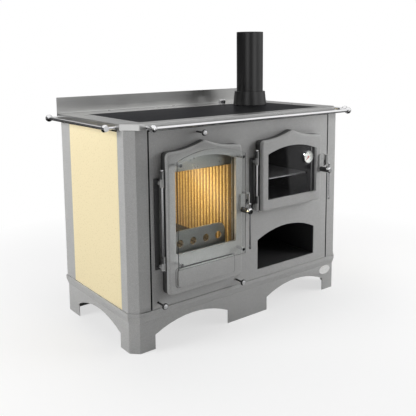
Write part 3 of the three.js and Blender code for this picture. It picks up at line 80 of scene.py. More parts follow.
class StoveColours(bpy.types.PropertyGroup):
    """Base colours of the finishes."""

    paint: colour("Body paint", (0.41, 0.41, 0.407), "Flecked heat-resistant paint of the body and the doors")
    enamel: colour("Enamel", (0.90, 0.78, 0.50), "Cream enamel of the side panels")
    steel: colour("Brushed steel", (0.70, 0.70, 0.69), "Hob frame and upstand")
    hob: colour("Hob plate", (0.21, 0.21, 0.215), "Ground steel of the hob plate")
    pipe: colour("Flue", (0.0035, 0.0035, 0.0037), "Stove paint of the flue pipe and its collar")
    chrome: colour("Chrome", (0.86, 0.86, 0.87), "Rails, hinge rods, handles and knobs")
    iron: colour("Cast iron", (0.09, 0.09, 0.088), "Grate and baffle")
    dark: colour("Dark steel", (0.035, 0.035, 0.036), "Firebox shell, smoke channel and spindles")
    zinc: colour("Zinc", (0.42, 0.43, 0.44), "Base plate and ash pan")
    lining: colour("Lining", (0.78, 0.60, 0.30), "Pressed vermiculite of the firebox lining")
    # painted shade with a sooty tone in the lining's grooves; it also darkens the lining towards its foot
    soot_and_shade: colour("Soot and shade", (0.16, 0.095, 0.04), "Soot in the lining's grooves")
    # painted shade: besides the dark paint of the door frames behind their fronts, this colour paints shade on
    # the hinge strips, the doors' raised sides and round the fire door's raised panel
    strip: colour("Hinge strip", (0.055, 0.055, 0.055), "Dark paint of the hinge strips and doors' flanks")
    # painted shade: near-black colour of the strips in the front's joints and of the band under the hob
    trim_shade: colour("Painted shade trim", (0.008, 0.008, 0.008), "Trim of the joints and seal under the hob")
    # painted shade: dark colour of the band round the outer pane's ground edges
    pane_edge_shade: colour("Pane edge shade", (0.03, 0.035, 0.033), "Ground edge of the glass")
    rope: colour("Sealing rope", (0.06, 0.06, 0.056), "Woven glass-fibre rope behind the doors")
    oven: colour("Oven enamel", (0.045, 0.045, 0.048), "Black enamel inside the oven")
    dial: colour("Dial", (0.84, 0.84, 0.82), "Face of the oven thermometer")
    ink: colour("Dial print", (0.02, 0.02, 0.02), "Ticks and numbers of the dial")
    pointer: colour("Pointer", (0.50, 0.015, 0.012), "Lacquer of the dial's pointer")
    plate: colour("Oval plate", (0.86, 0.86, 0.85), "Blank oval plate on the right leg")


class StoveSizes(bpy.types.PropertyGroup):
    """Sizes of the pieces that are added to the frame."""

    screw_radius: length("Screw head", 4.2 * MM, "Radius of a pan head")
    screw_height: length("Screw height", 2.2 * MM, "Height of a pan head")
    tick_length: length("Tick", 3.2 * MM, "Length of a long tick on the dial")
    number_height: length("Number", 4.6 * MM, "Height of the dial's numbers")
    plate_width: length("Oval plate width", 72 * MM, "Width of the blank oval plate")
    plate_height: length("Oval plate height", 40 * MM, "Height of the blank oval plate")
    wire_radius: length("Rack wire", 1.9 * MM, "Radius of the rack's bars")
    rack_bars: IntProperty(name="Rack bars", description="Wires across the rack", default=22, min=2)


class StudioSettings(bpy.types.PropertyGroup):
    """Camera and light."""

    camera_place: FloatVectorProperty(
        name="Camera", description="Where the camera stands", default=(-1.6148, -2.0672, 1.1016),
        subtype="TRANSLATION", unit="LENGTH", precision=4)
    yaw: angle("Yaw", 0.6555, "Turn of the camera to the right of straight ahead")
    pitch: angle("Pitch", 0.1403, "Tilt of the camera below the horizontal")
    roll: angle("Roll", -0.0088, "Turn of the camera about its own axis")
    lens: FloatProperty(
        name="Lens", description="Focal length on a 36 mm sensor", default=52.30, unit="CAMERA")
    rise: FloatProperty(
        name="Lens shift", description="Vertical shift of the lens", default=-0.1635, precision=4)
    ambient: power("Ambient", 0.06, "Even light that reaches matt surfaces")
    left: power("Left softbox", 62, "Softbox to the left, behind the front")
    graze: power("Grazing softbox", 7.3, "Tall softbox close to the right front corner")
    right: power("Right softbox", 36, "Softbox at the front right")
    top: power("Top softbox", 46, "Softbox overhead")
    firebox: power("Firebox lamp", 0.95, "Small warm lamp that shows the lining")
    oven: power("Oven lamp", 0.24, "Small lamp that shows the oven's rack")
    lamp_tint: colour("Firebox lamp tint", (1.0, 0.74, 0.42), "Colour of the firebox lamp")
    ceiling: power("Mirrored ceiling", 1.0, "What shiny surfaces see above")
    panel_ahead: power("Mirrored front panel", 0.95, "What they see straight in front")
    panel_left: power("Mirrored left panel", 0.95, "What they see at the front left")
    panel_right: power("Mirrored right panel", 0.30, "What they see at the front right")
    panel_back: power("Mirrored back panel", 0.22, "What they see behind the object")
    panel_slit: power("Mirrored slit", 0.40, "What they see in the gap between front and right panels")
    gloom: power("Mirrored gloom", 0.04, "What they see everywhere else")
    shade: FloatProperty(
        name="Floor shade", description="How much of the lamps' shade the white floor shows", default=0.35,
        min=0, max=1, subtype="FACTOR")


# ---------------------------------------------------------------- node helpers
COLOUR = "NodeSocketColor"
VALUE = "NodeSocketFloat"
VECTOR = "NodeSocketVector"
GEOMETRY = "NodeSocketGeometry"
MATERIAL = "NodeSocketMaterial"
MID_GREY = (0.4, 0.4, 0.4, 1)


def feed(socket, value):
    """Link another socket in, or set a plain value."""
    if isinstance(value, bpy.types.NodeSocket):
        socket.id_data.links.new(value, socket)
    else:
        socket.default_value = value


def give(sockets, **values):
    """Feed sockets by name, with underscores for the names' spaces."""
    for key, value in values.items():
        feed(sockets[key.replace("_", " ")], value)


def change(thing, **settings):
    for key, value in settings.items():
        setattr(thing, key, value)
    return thing


def add(tree, kind, sockets=(), **settings):
    """A node with its settings; sockets maps an input's name or place to its value or to what feeds it."""
    made = change(tree.nodes.new(kind), **settings)
    for key, value in dict(sockets).items():
        feed(made.inputs[key], value)
    return made


def reckon(kind, sockets, **settings):
    """Outputs of a node in the tree that holds the sockets that feed it."""
    feeds = [value for value in dict(sockets).values() if isinstance(value, bpy.types.NodeSocket)]
    return add(feeds[0].id_data, kind, sockets, **settings).outputs


def maths(operation, *values):
    return reckon("ShaderNodeMath", dict(enumerate(values)), operation=operation)[0]


def times(first, second):
    return maths("MULTIPLY", first, second)


def vector_maths(operation, *values):
    """Vector and value of an operation on vectors."""
    return reckon("ShaderNodeVectorMath", dict(enumerate(values)), operation=operation)


def blend_colours(factor, first, second, mode="MIX"):
    return reckon("ShaderNodeMix", {0: factor, 6: first, 7: second}, data_type="RGBA", blend_type=mode)[2]


def blend_shaders(factor, first, second):
    return reckon("ShaderNodeMixShader", {0: factor, 1: first, 2: second})[0]


def tinted(base, level):
    """A colour times a plain number."""
    grey = reckon("ShaderNodeCombineColor", {0: level, 1: level, 2: level})[0]
    return blend_colours(1.0, base, grey, "MULTIPLY")


def fade(value, low, high, start=0.0, end=1.0):
    """value from low..high laid onto start..end, clamped."""
    return reckon("ShaderNodeMapRange", {0: value, 1: low, 2: high, 3: start, 4: end})[0]


def between(value, rise, fall):
    """0 below the range rise, 1 between it and the range fall, 0 above that."""
    return times(fade(value, *rise), fade(value, *fall, 1.0, 0.0))


def own_place(tree):
    """Place in the piece's own coordinates."""
    return add(tree, "ShaderNodeTexCoord").outputs["Object"]


def axes(vector):
    return reckon("ShaderNodeSeparateXYZ", {0: vector})


def vector(**parts):
    return reckon("ShaderNodeCombineXYZ", parts)[0]


def noise(place, scale, detail=2.0, rough=0.5):
    return reckon("ShaderNodeTexNoise", {
        "Vector": place, "Scale": scale, "Detail": detail, "Roughness": rough})[0]


def cells(place, scale):
    """A random number for each of the cells that the space is cut into."""
    colours = reckon("ShaderNodeTexVoronoi", {"Vector": place, "Scale": scale})["Color"]
    return reckon("ShaderNodeSeparateColor", {0: colours})[0]


def socket_type(value):
    if isinstance(value, tuple):
        return COLOUR if len(value) == 4 else VECTOR
    return "NodeSocketInt" if isinstance(value, int) else VALUE


def group_tree(name, kind, inputs, outputs):
    """A node group; inputs maps names to defaults, or to socket types; outputs maps names to socket types."""
    tree = bpy.data.node_groups.new(name, kind)
    for label, value in inputs.items():
        bare = isinstance(value, str)
        made = tree.interface.new_socket(
            label, in_out="INPUT", socket_type=value if bare else socket_type(value))
        if not bare:
            made.default_value = value
    for label, kind_out in outputs.items():
        tree.interface.new_socket(label, in_out="OUTPUT", socket_type=kind_out)
    return tree, tree.nodes.new("NodeGroupInput").outputs, tree.nodes.new("NodeGroupOutput").inputs


def geometry_tree(name, inputs):
    """A Geometry Nodes group with a geometry in and out."""
    return group_tree(name, "GeometryNodeTree", {"Geometry": GEOMETRY, **inputs}, {"Geometry": GEOMETRY})


def opaque(value):
    return (*value[:3], 1.0)


def scaled(value, factor):
    return tuple(min(1.0, channel * factor) for channel in value[:3])


# ---------------------------------------------------------------- shader groups
def build_flecked_coat():
    """Sprayed coat: cloudy base, small flecks of another colour, fine grain."""
    tree, inside, out = group_tree("Flecked coat", "ShaderNodeTree", {
        "Base": MID_GREY, "Fleck": MID_GREY, "Fleck Size": 1.2 * MM, "Fleck Share": 0.3, "Cloud": 0.05,
    }, {"Color": COLOUR, "Grain": VALUE, "Gloss Loss": VALUE})
    place = own_place(tree)
    per_metre = maths("DIVIDE", 1.0, inside["Fleck Size"])
    fleck = maths("LESS_THAN", cells(place, per_metre), inside["Fleck Share"])
    cloud = maths("SUBTRACT", noise(place, 14.0, 4.0, 0.6), 0.5)
    mottle = maths("SUBTRACT", noise(place, 160.0), 0.5)
    sway = maths("MULTIPLY_ADD", mottle, 0.7, cloud)
    level = maths("MULTIPLY_ADD", sway, times(inside["Cloud"], 2.0), 1.0)
    give(out, Color=blend_colours(fleck, tinted(inside["Base"], level), inside["Fleck"]),
         Grain=noise(place, times(per_metre, 0.9), 3.0), Gloss_Loss=times(mottle, 0.2))
    return tree


def build_brushed_lines():
    """Straight grain of brushed or ground metal; Stretch holds the lines per metre along each axis."""
    tree, inside, out = group_tree("Brushed lines", "ShaderNodeTree", {
        "Base": MID_GREY, "Stretch": (4.0, 900.0, 900.0), "Contrast": 0.25,
    }, {"Color": COLOUR, "Lines": VALUE, "Smear": VALUE})
    place = own_place(tree)
    stretched = vector_maths("MULTIPLY", place, inside["Stretch"])[0]
    lines = noise(stretched, 1.0, 3.0, 0.7)
    level = maths("MULTIPLY_ADD", maths("SUBTRACT", lines, 0.5), inside["Contrast"], 1.0)
    give(out, Color=tinted(inside["Base"], level), Lines=lines, Smear=noise(place, 9.0, 3.0))
    return tree


def build_settled_dust():
    """Another colour that thickens towards one height, broken up by noise: dust on the grate, a darker tone on
    the lining.
    """
    tree, inside, out = group_tree("Settled dust", "ShaderNodeTree", {
        "Base": MID_GREY, "Dust": MID_GREY, "Clean Height": 1.0, "Dusty Height": 0.0, "Amount": 0.5,
        "Patch Size": 0.03,
    }, {"Color": COLOUR, "Mask": VALUE})
    place = own_place(tree)
    rise = fade(axes(place)["Z"], inside["Clean Height"], inside["Dusty Height"])
    patches = noise(place, maths("DIVIDE", 1.0, inside["Patch Size"]), 5.0, 0.65)
    spotted = times(rise, fade(patches, 0.25, 0.75))
    mask = times(spotted, inside["Amount"])
    give(out, Color=blend_colours(mask, inside["Base"], inside["Dust"]), Mask=mask)
    return tree


def build_rubbed_and_highlit_edges():
    """Lighter edges, partly rubbed wear and partly a painted highlight: where a widely rounded normal leaves
    the surface's own, broken up by noise.
    """
    tree, inside, out = group_tree("Worn edges", "ShaderNodeTree", {
        "Base": MID_GREY, "Worn": MID_GREY, "Amount": 0.5}, {"Color": COLOUR, "Mask": VALUE})
    rounded = add(tree, "ShaderNodeBevel", {"Radius": 1.6 * MM}, samples=4).outputs[0]
    plain = add(tree, "ShaderNodeNewGeometry").outputs["Normal"]
    same = vector_maths("DOT_PRODUCT", rounded, plain)["Value"]
    patches = noise(own_place(tree), 45.0, 3.0)
    edge = times(fade(same, 0.995, 0.90), inside["Amount"])
    mask = times(edge, fade(patches, 0.25, 0.6, 0.5, 1.0))
    give(out, Color=blend_colours(mask, inside["Base"], inside["Worn"]), Mask=mask)
    return tree


PANELS = {      # azimuths over which a light panel rises and falls, 0 ahead and positive to the right
    "Ahead": ((-0.3, -0.15), (0.25, 0.45)),
    "Left": ((-1.3, -1.2), (-0.9, -0.8)),
    "Right": ((0.772, 0.780), (1.5, 1.9)),
    "Slit": ((0.485, 0.510), (0.525, 0.555)),
}
BACK_FROM = (1.7, 2.1)
LOW_CEILING = ((0.40, 0.60), (1.4, 1.8))        # azimuths where the ceiling comes down


def build_mirrored_room():
    """What shiny surfaces see in a direction: light panels round the horizon, a ceiling, a dimmer back."""
    tree, inside, out = group_tree("Mirrored room", "ShaderNodeTree", {
        "Way": (0, -1, 0), "Height": 0.0, "Gloom": 0.03, "Ahead": 1.0, "Left": 1.0, "Right": 0.3, "Back": 0.4,
        "Ceiling": 1.0, "Slit": 0.4,
    }, {"Level": VALUE})
    way = axes(inside["Way"])
    azimuth = maths("ARCTAN2", way["X"], times(way["Y"], -1.0))
    low_side = between(azimuth, *LOW_CEILING)
    masks = {name: between(azimuth, *edges) for name, edges in PANELS.items()}
    masks["Back"] = fade(azimuth, *BACK_FROM)
    masks["Ceiling"] = fade(inside["Height"], maths("MULTIPLY_ADD", low_side, -0.30, 0.30),
                            maths("MULTIPLY_ADD", low_side, -0.50, 0.60))
    level = inside["Gloom"]
    for name, mask in masks.items():
        level = maths("MULTIPLY_ADD", mask, inside[name], level)
    give(out, Level=maths("MINIMUM", level, 1.0))
    return tree


SHADER_GROUPS = {
    "Flecked coat": build_flecked_coat,
    "Worn edges": build_rubbed_and_highlit_edges,
    "Mirrored room": build_mirrored_room,
    "Brushed lines": build_brushed_lines,
    "Settled dust": build_settled_dust,
}


def use_group(tree, name, **sockets):
    """Place a shared shader group in a tree, building it on first use."""
    made = add(tree, "ShaderNodeGroup", node_tree=bpy.data.node_groups.get(name) or SHADER_GROUPS[name]())
    give(made.inputs, **sockets)
    return made.outputs


# ---------------------------------------------------------------- kinds of finish
def surface(name, **sockets):
    """A material, its node tree and its shader's inputs, with plain values set on them."""
    material = bpy.data.materials.new(name)
    material.use_nodes = True
    tree = material.node_tree
    shader = tree.nodes["Principled BSDF"].inputs
    give(shader, **sockets)
    return material, tree, shader


def bump(shader, height, distance):
    feed(shader["Normal"], reckon("ShaderNodeBump", {"Height": height, "Distance": distance})[0])


def roughen(shader, value, low, high):
    feed(shader["Roughness"], fade(value, 0.25, 0.75, low, high))


def coated(name, base, fleck, rough, share=0.3, size=1.3 * MM, cloud=0.05, grain=0.05 * MM, **sockets):
    """Any coat. fleck: the flecks' colour, or their brightness against the base. rough: the roughness of a
    smooth coat, or the least and the greatest roughness of a gritty one."""
    material, tree, shader = surface(name, **sockets)
    flecks = fleck if isinstance(fleck, tuple) else scaled(base, fleck)
    coat = use_group(tree, "Flecked coat", Base=opaque(base), Fleck=opaque(flecks), Fleck_Size=size,
                     Fleck_Share=share, Cloud=cloud)
    feed(shader["Base Color"], coat["Color"])
    if isinstance(rough, tuple):
        roughen(shader, coat["Grain"], *rough)
    else:
        feed(shader["Roughness"], maths("ADD", coat["Gloss Loss"], rough))
    bump(shader, coat["Grain"], grain)
    return material


def brushed(name, base, stretch, rough, contrast, **sockets):
    """Any brushed or ground metal."""
    material, tree, shader = surface(name, Metallic=1.0, **sockets)
    lines = use_group(tree, "Brushed lines", Base=opaque(base), Stretch=stretch, Contrast=contrast)
    spread = maths("MULTIPLY_ADD", maths("SUBTRACT", lines["Smear"], 0.5), 0.16, rough)
    give(shader, Base_Color=lines["Color"], Roughness=spread)
    bump(shader, lines["Lines"], 0.02 * MM)
    return material


def polished(name, base, rough, stain=1.0, per_metre=60.0, **sockets):
    """Any bright metal with a faint haze; stain is the brightness of its stains against the base."""
    material, tree, shader = surface(name, **sockets)
    haze = noise(own_place(tree), per_metre, 3.0)
    stains = fade(haze, 0.3, 0.7)
    give(shader, Base_Color=blend_colours(stains, opaque(base), opaque(scaled(base, stain))))
    roughen(shader, haze, *rough)
    return material


def pane_material(name, tint):
    """Solid glass that lets lamps through."""
    material, tree, shader = surface(
        name, Transmission_Weight=1.0, IOR=1.47, Base_Color=opaque(tint), Roughness=0.0)
    bump(shader, noise(own_place(tree), 3.0), 0.02 * MM)
    solid = tree.nodes["Principled BSDF"].outputs[0]
    clear = add(tree, "ShaderNodeBsdfTransparent", {"Color": opaque(tint)}).outputs[0]
    shadow = add(tree, "ShaderNodeLightPath").outputs["Is Shadow Ray"]
    give(tree.nodes["Material Output"].inputs, Surface=blend_shaders(shadow, solid, clear))
    return material


def base_colour(material):
    """The input of a material's base colour and what feeds it."""
    target = material.node_tree.nodes["Principled BSDF"].inputs["Base Color"]
    return target, target.links[0].from_socket


def paint_over(material, mask, paint):
    """Another colour over the material's own where the mask is 1."""
    target, source = base_colour(material)
    feed(target, blend_colours(mask, source, opaque(paint)))


def pass_through(material, group, **sockets):
    """The material's colour run through a shared group."""
    target, source = base_colour(material)
    feed(target, use_group(material.node_tree, group, Base=source, **sockets)["Color"])


def paint_past(material, start, end, paint):
    """Another colour that comes in from the depth start to the depth end, and covers all past that."""
    depth = axes(own_place(material.node_tree))["Y"]
    paint_over(material, fade(depth, start, end), paint)


# ---------------------------------------------------------------- finishes
DOOR_PANEL_CORNER = 15 * MM                     # raised panel of the fire door: radius of its corners,
DOOR_PANEL_CORE = (125 * MM, 1, 23.5 * MM)      # half its size between them, at any depth,
DOOR_PANEL_RISE = 64.5 * MM                     # its middle above the door's lower edge
DOOR_EDGE = 12 * MM                             # depth of a door's grey part
HINGE_ARM_ROOT = 5.5 * MM                       # hinge arms are grey from here on, ahead of the strips' back
SIDE_GROOVES = (19.5 * MM, 14.5 * MM)           # side linings' grooves, in from the back lining's ends
BACK_GROOVES = (0.5 * MM, 5.5 * MM)             # back lining's grooves, behind its front


def grey_paint(look, name="Grey paint"):
    material = coated(name, look.paint, 1.22, 0.47, grain=0.09 * MM, cloud=0.06)
    # rubbed wear and painted highlight on every edge of the paint
    pass_through(material, "Worn edges", Worn=opaque(scaled(look.paint, 1.7)), Amount=0.6)
    return material


def panel_foot_shade(place):
    """Mask of a painted shade line round the foot of the fire door's raised panel."""
    low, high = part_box("fire_door_frame")
    middle = ((low.x + high.x) / 2, 0, low.z + DOOR_PANEL_RISE)
    offset = vector_maths("SUBTRACT", place, middle)[0]
    past = vector_maths("SUBTRACT", vector_maths("ABSOLUTE", offset)[0], DOOR_PANEL_CORE)[0]
    reach = vector_maths("LENGTH", vector_maths("MAXIMUM", past, (0, 0, 0))[0])["Value"]
    corner = DOOR_PANEL_CORNER
    line = between(reach, (corner - 0.4 * MM, corner), (corner + 1.2 * MM, corner + 2.8 * MM))
    return times(line, 0.75)


def door_paint(look):
    """Grey paint on the front of a door and dark paint on the frame behind it; painted shade on the raised
    front's sides that don't face left, and round the raised panel's foot.
    """
    material = grey_paint(look, "Door paint")
    where = add(material.node_tree, "ShaderNodeTexCoord").outputs
    depth = axes(where["Object"])["Y"]
    way = axes(where["Normal"])
    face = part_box("oven_door_frame")[0].y
    dark = fade(depth, face + DOOR_EDGE, face + DOOR_EDGE + 1.5 * MM)
    # painted shade on the raised front's sides that don't face left
    shaded_flank = times(fade(maths("ABSOLUTE", way["Y"]), 0.8, 0.5), fade(way["X"], -0.6, -0.3))
    proud = between(depth, (face - 6.5 * MM, face - 5.5 * MM), (face - 0.3 * MM, face))
    for mask in (times(shaded_flank, proud), panel_foot_shade(where["Object"])):
        dark = maths("MAXIMUM", dark, mask)
    paint_over(material, dark, look.strip)
    return material


def strip_shade_paint(look):
    """Dark paint of the hinge strips as painted shade between the doors; the hinge arms in front of the strips
    are grey.
    """
    material = coated("Strip shade paint", look.strip, 1.5, 0.5, share=0.25)
    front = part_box("fire_hinge_mount")[1].y - HINGE_ARM_ROOT
    paint_past(material, front, front - 1 * MM, look.paint)
    return material


def cream_enamel(look):
    return coated("Cream enamel", look.enamel, 0.985, 0.30, share=0.1, size=4 * MM, cloud=0.008,
                  grain=0.02 * MM, Coat_Weight=0.25, Coat_Roughness=0.12)


def flue_black(look):
    return coated("Flue black", look.pipe, 2.0, 0.36, share=0.2, size=0.8 * MM, grain=0.01 * MM, IOR=1.75)


def dark_steel(look):
    return coated("Dark steel", look.dark, 1.6, 0.55, share=0.25)


def oven_enamel(look):
    return coated("Oven enamel", look.oven, (0.30, 0.30, 0.31), 0.22, share=0.02, size=1.6 * MM,
                  Coat_Weight=0.5, Coat_Roughness=0.1)


def painted_shade_trim(look):
    return coated("Painted shade trim", look.trim_shade, 1.75, 0.7, share=0.25, size=0.6 * MM, Specular_IOR_Level=0.2)


def pane_edge_shade(look):
    return coated("Pane edge shade", look.pane_edge_shade, 1.6, 0.35, share=0.2, size=0.6 * MM, grain=0.02 * MM)


def needle_red(look):
    return coated("Pointer lacquer", look.pointer, 1.1, 0.3, share=0.1, grain=0.005 * MM)


def dial_face(look):
    return coated("Dial face", look.dial, 0.97, 0.35, share=0.1, cloud=0.01, grain=0.004 * MM)


def dial_print(look):
    return coated("Dial print", look.ink, 1.5, 0.5, share=0.1, grain=0.004 * MM)


def plate_face(look):
    return coated("Plate face", look.plate, 0.96, 0.28, share=0.15, cloud=0.02, grain=0.01 * MM,
                  Coat_Weight=0.3, Coat_Roughness=0.1)


def stainless(look):
    return brushed("Brushed steel", look.steel, (5.0, 1100.0, 1100.0), 0.30, 0.35)


def hob_steel(look):
    return brushed("Hob steel", look.hob, (4.0, 700.0, 700.0), 0.32, 0.6, Specular_Tint=(0.14, 0.14, 0.15, 1))


def chrome(look):
    return polished("Chrome", look.chrome, (0.05, 0.10), Metallic=1.0)


def rack_steel(look):
    """Wire with painted shade behind a bright front edge."""
    material = polished("Rack steel", look.chrome, (0.28, 0.42), 0.75, 40.0, Metallic=0.55)
    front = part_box("oven_rack")[0].y
    # painted shade: the wire darkens behind its front edge
    paint_past(material, front + 2 * MM, front + 9 * MM, scaled(look.chrome, 0.30))
    return material


def pull_steel(look):
    """Bright cap of a pull, with a painted dark reflection on its side and stem."""
    material = polished("Pull steel", look.chrome, (0.14, 0.22), Metallic=0.35)
    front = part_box("primary_air_pull")[0].y
    # painted dark reflection on the pull's side and stem
    paint_past(material, front + 1.0 * MM, front + 2.2 * MM, scaled(look.chrome, 0.06))
    return material


def galvanised(look):
    material, tree, shader = surface("Zinc sheet", Metallic=0.85)
    tone = cells(own_place(tree), 70.0)
    dull, bright = opaque(scaled(look.zinc, 0.82)), opaque(scaled(look.zinc, 1.12))
    give(shader, Base_Color=blend_colours(tone, dull, bright))
    roughen(shader, tone, 0.38, 0.55)
    return material


def cast_iron(look):
    material = coated("Cast iron", look.iron, 1.8, (0.62, 0.85), share=0.25, size=1.5 * MM, cloud=0.15,
                      grain=0.35 * MM, Metallic=0.4)
    pass_through(material, "Settled dust", Dust=(0.32, 0.31, 0.30, 1), Clean_Height=0.50, Dusty_Height=0.30,
                 Amount=0.35, Patch_Size=0.05)
    return material


def vermiculite(look):
    """Ribbed golden board with painted shade and a sooty tone in its grooves, darker towards its foot."""
    material = coated("Vermiculite", look.lining, 1.35, (0.75, 0.95), share=0.35, size=2.4 * MM, cloud=0.16,
                      grain=0.5 * MM, Specular_IOR_Level=0.25)
    place = axes(own_place(material.node_tree))
    low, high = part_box("lining_back")
    half = (high.x - low.x) / 2
    off_middle = maths("ABSOLUTE", maths("SUBTRACT", place["X"], low.x + half))
    in_side = fade(off_middle, *(half - edge for edge in SIDE_GROOVES))
    in_back = fade(place["Y"], *(low.y + edge for edge in BACK_GROOVES))
    # painted shade with a sooty tone in the grooves
    paint_over(material, times(maths("MAXIMUM", in_side, in_back), 0.85), look.soot_and_shade)
    # darker towards the lining's foot
    pass_through(material, "Settled dust", Dust=opaque(look.soot_and_shade), Clean_Height=0.56, Dusty_Height=0.30,
                 Amount=0.35, Patch_Size=0.06)
    return material


def sealing_rope(look):
    return coated("Sealing rope", look.rope, 2.2, (0.8, 0.98), share=0.35, size=0.5 * MM, cloud=0.15,
                  grain=0.3 * MM, Sheen_Weight=0.2)


def glass(look):
    return pane_material("Clear glass", (0.96, 0.975, 0.965))


def oven_glass(look):
    return pane_material("Oven glass", (0.62, 0.62, 0.63))


FINISHES = {maker.__name__: maker for maker in (
    grey_paint, door_paint, strip_shade_paint, cream_enamel, flue_black, dark_steel, oven_enamel, painted_shade_trim,
    pane_edge_shade, needle_red, dial_face, dial_print, plate_face, stainless, hob_steel, chrome, rack_steel,
    pull_steel, galvanised, cast_iron, vermiculite, sealing_rope, glass, oven_glass)}
OWN_FINISH = {      # nodes that look unlike the rest of their slot
    "fire_hinge_mount": "strip_shade_paint", "oven_hinge_mount": "strip_shade_paint", "air_wash_plate": "stainless",
    "fire_door_frame": "door_paint", "oven_door_frame": "door_paint", "oven_rack": "rack_steel",
    "bypass_damper_pull": "pull_steel", "primary_air_pull": "pull_steel", "secondary_air_pull": "pull_steel",
}
MADE = {}


def finish(context, name):
    """The material of that name, made once."""
    if name not in MADE:
        MADE[name] = FINISHES[name](context.scene.stove_colours)
    return MADE[name]


# ---------------------------------------------------------------- soft edges on the frame's nodes
EDGE_WIDTH = {      # by slot, in millimetres
    "grey_paint": 0.7, "cream_enamel": 0.6, "stainless": 0.6, "hob_steel": 0.8, "flue_black": 0.5,
    "chrome": 0.4, "cast_iron": 1.2, "dark_steel": 0.5, "galvanised": 0.4, "vermiculite": 1.2, "glass": 0.5,
    "oven_glass": 0.5, "sealing_rope": 1.5, "oven_enamel": 0.6, "needle_red": 0.1,
}
FLAT_ANGLE = math.radians(0.6)
SHARP_ANGLE = math.radians(33)
WELD_DISTANCE = 0.002 * MM


def smoothed(mesh):
    return reckon("GeometryNodeSetShadeSmooth", {"Geometry": mesh, "Shade Smooth": True})[0]


def weld_tree():
    """Geometry Nodes tree that joins a node's loose triangles and shades them smooth."""
    name = "Weld and smooth"
    if name in bpy.data.node_groups:
        return bpy.data.node_groups[name]
    tree, inside, out = geometry_tree(name, {"Distance": WELD_DISTANCE})
    weld = reckon("GeometryNodeMergeByDistance", {
        "Geometry": inside["Geometry"], "Distance": inside["Distance"]})[0]
    give(out, Geometry=smoothed(weld))
    return tree


def soften(obj, width):
    """Rounded edges: weld, clear the flats, bevel, weighted normals."""
    obj.modifiers.new("Weld", "NODES").node_group = weld_tree()
    change(obj.modifiers.new("Flats", "DECIMATE"), decimate_type="DISSOLVE", angle_limit=FLAT_ANGLE)
    change(obj.modifiers.new("Edges", "BEVEL"), width=width, segments=2, limit_method="ANGLE",
           angle_limit=SHARP_ANGLE, use_clamp_overlap=True, miter_outer="MITER_ARC")
    change(obj.modifiers.new("Normals", "WEIGHTED_NORMAL"), keep_sharp=False, weight=90)


def set_finish(context, obj, name):
    """One finish as the object's only material."""
    obj.data.materials.clear()
    obj.data.materials.append(finish(context, name))


def dress_node(context, name):
    """Give a node of the frame its finish and its soft edges."""
    slot = SLOT_OF[name]
    set_finish(context, NODES[name], OWN_FINISH.get(name, slot))
    soften(NODES[name], EDGE_WIDTH[slot] * MM)


# ---------------------------------------------------------------- mesh helpers
def link(obj):
    bpy.context.scene.collection.objects.link(obj)
    return obj


def mesh_object(name, bm, closed=True):
    """A new object from a bmesh, at the origin, shaded smooth; a closed one has its faces turned outwards."""
    mesh = bpy.data.meshes.new(name)
    if closed:
        bmesh.ops.recalc_face_normals(bm, faces=bm.faces)
    bm.normal_update()
    bm.to_mesh(mesh)
    bm.free()
    mesh.polygons.foreach_set("use_smooth", [True] * len(mesh.polygons))
    return link(bpy.data.objects.new(name, mesh))


def turned_piece(name, profile, place, segments):
    """A profile of (radius, height) from axis to axis, turned round Z and put in place, as a new object."""
    bm = bmesh.new()
    rings = []
    for radius, height in profile:
        turns = [2 * math.pi * i / segments for i in range(segments)] if radius else [0]
        rings.append([bm.verts.new(place @ Vector((radius * math.cos(turn), radius * math.sin(turn), height)))
                      for turn in turns])
    for low, high in zip(rings, rings[1:]):
        for i in range(segments):
            j = (i + 1) % segments
            if len(low) == 1:
                bm.faces.new((low[0], high[j], high[i]))
            elif len(high) == 1:
                bm.faces.new((low[i], low[j], high[0]))
            else:
                bm.faces.new((low[i], low[j], high[j], high[i]))
    return mesh_object(name, bm)


def add_sleeve(bm, rings):
    """Rings of points joined one to the next, with both ends filled."""
    rings = [[bm.verts.new(point) for point in ring] for ring in rings]
    for low, high in zip(rings, rings[1:]):
        for i in range(len(low)):
            j = (i + 1) % len(low)
            bm.faces.new((low[i], low[j], high[j], high[i]))
    bm.faces.new(reversed(rings[0]))
    bm.faces.new(rings[-1])


def facing_front(x, y, z):
    """Puts a shape that was turned round Z so that its axis points to the front, at that place."""
    return Matrix.Translation((x, y, z)) @ Matrix.Rotation(RIGHT_ANGLE, 4, "X")


def plain_mesh(obj, name):
    """The evaluated object as a plain mesh object without modifiers."""
    evaluated = obj.evaluated_get(bpy.context.evaluated_depsgraph_get())
    mesh = bpy.data.meshes.new_from_object(evaluated)
    mesh.name = name
    bpy.data.objects.remove(obj)
    return link(bpy.data.objects.new(name, mesh))


def run_tree(tree, name, source=None, **values):
    """Run a Geometry Nodes tree on a new object and keep only its mesh."""
    holder = link(bpy.data.objects.new(name + "_maker", source or bpy.data.meshes.new(name + "_seed")))
    modifier = holder.modifiers.new("Make", "NODES")
    modifier.node_group = tree
    sockets = {s.name: s.identifier for s in tree.interface.items_tree if s.in_out == "INPUT"}
    for key, value in values.items():
        modifier[sockets[key.replace("_", " ")]] = value
    return plain_mesh(holder, name)


def realised(instances, material):
    """Instances made real, with their material."""
    real = reckon("GeometryNodeRealizeInstances", {0: instances})[0]
    return reckon("GeometryNodeSetMaterial", {"Geometry": real, "Material": material})[0]


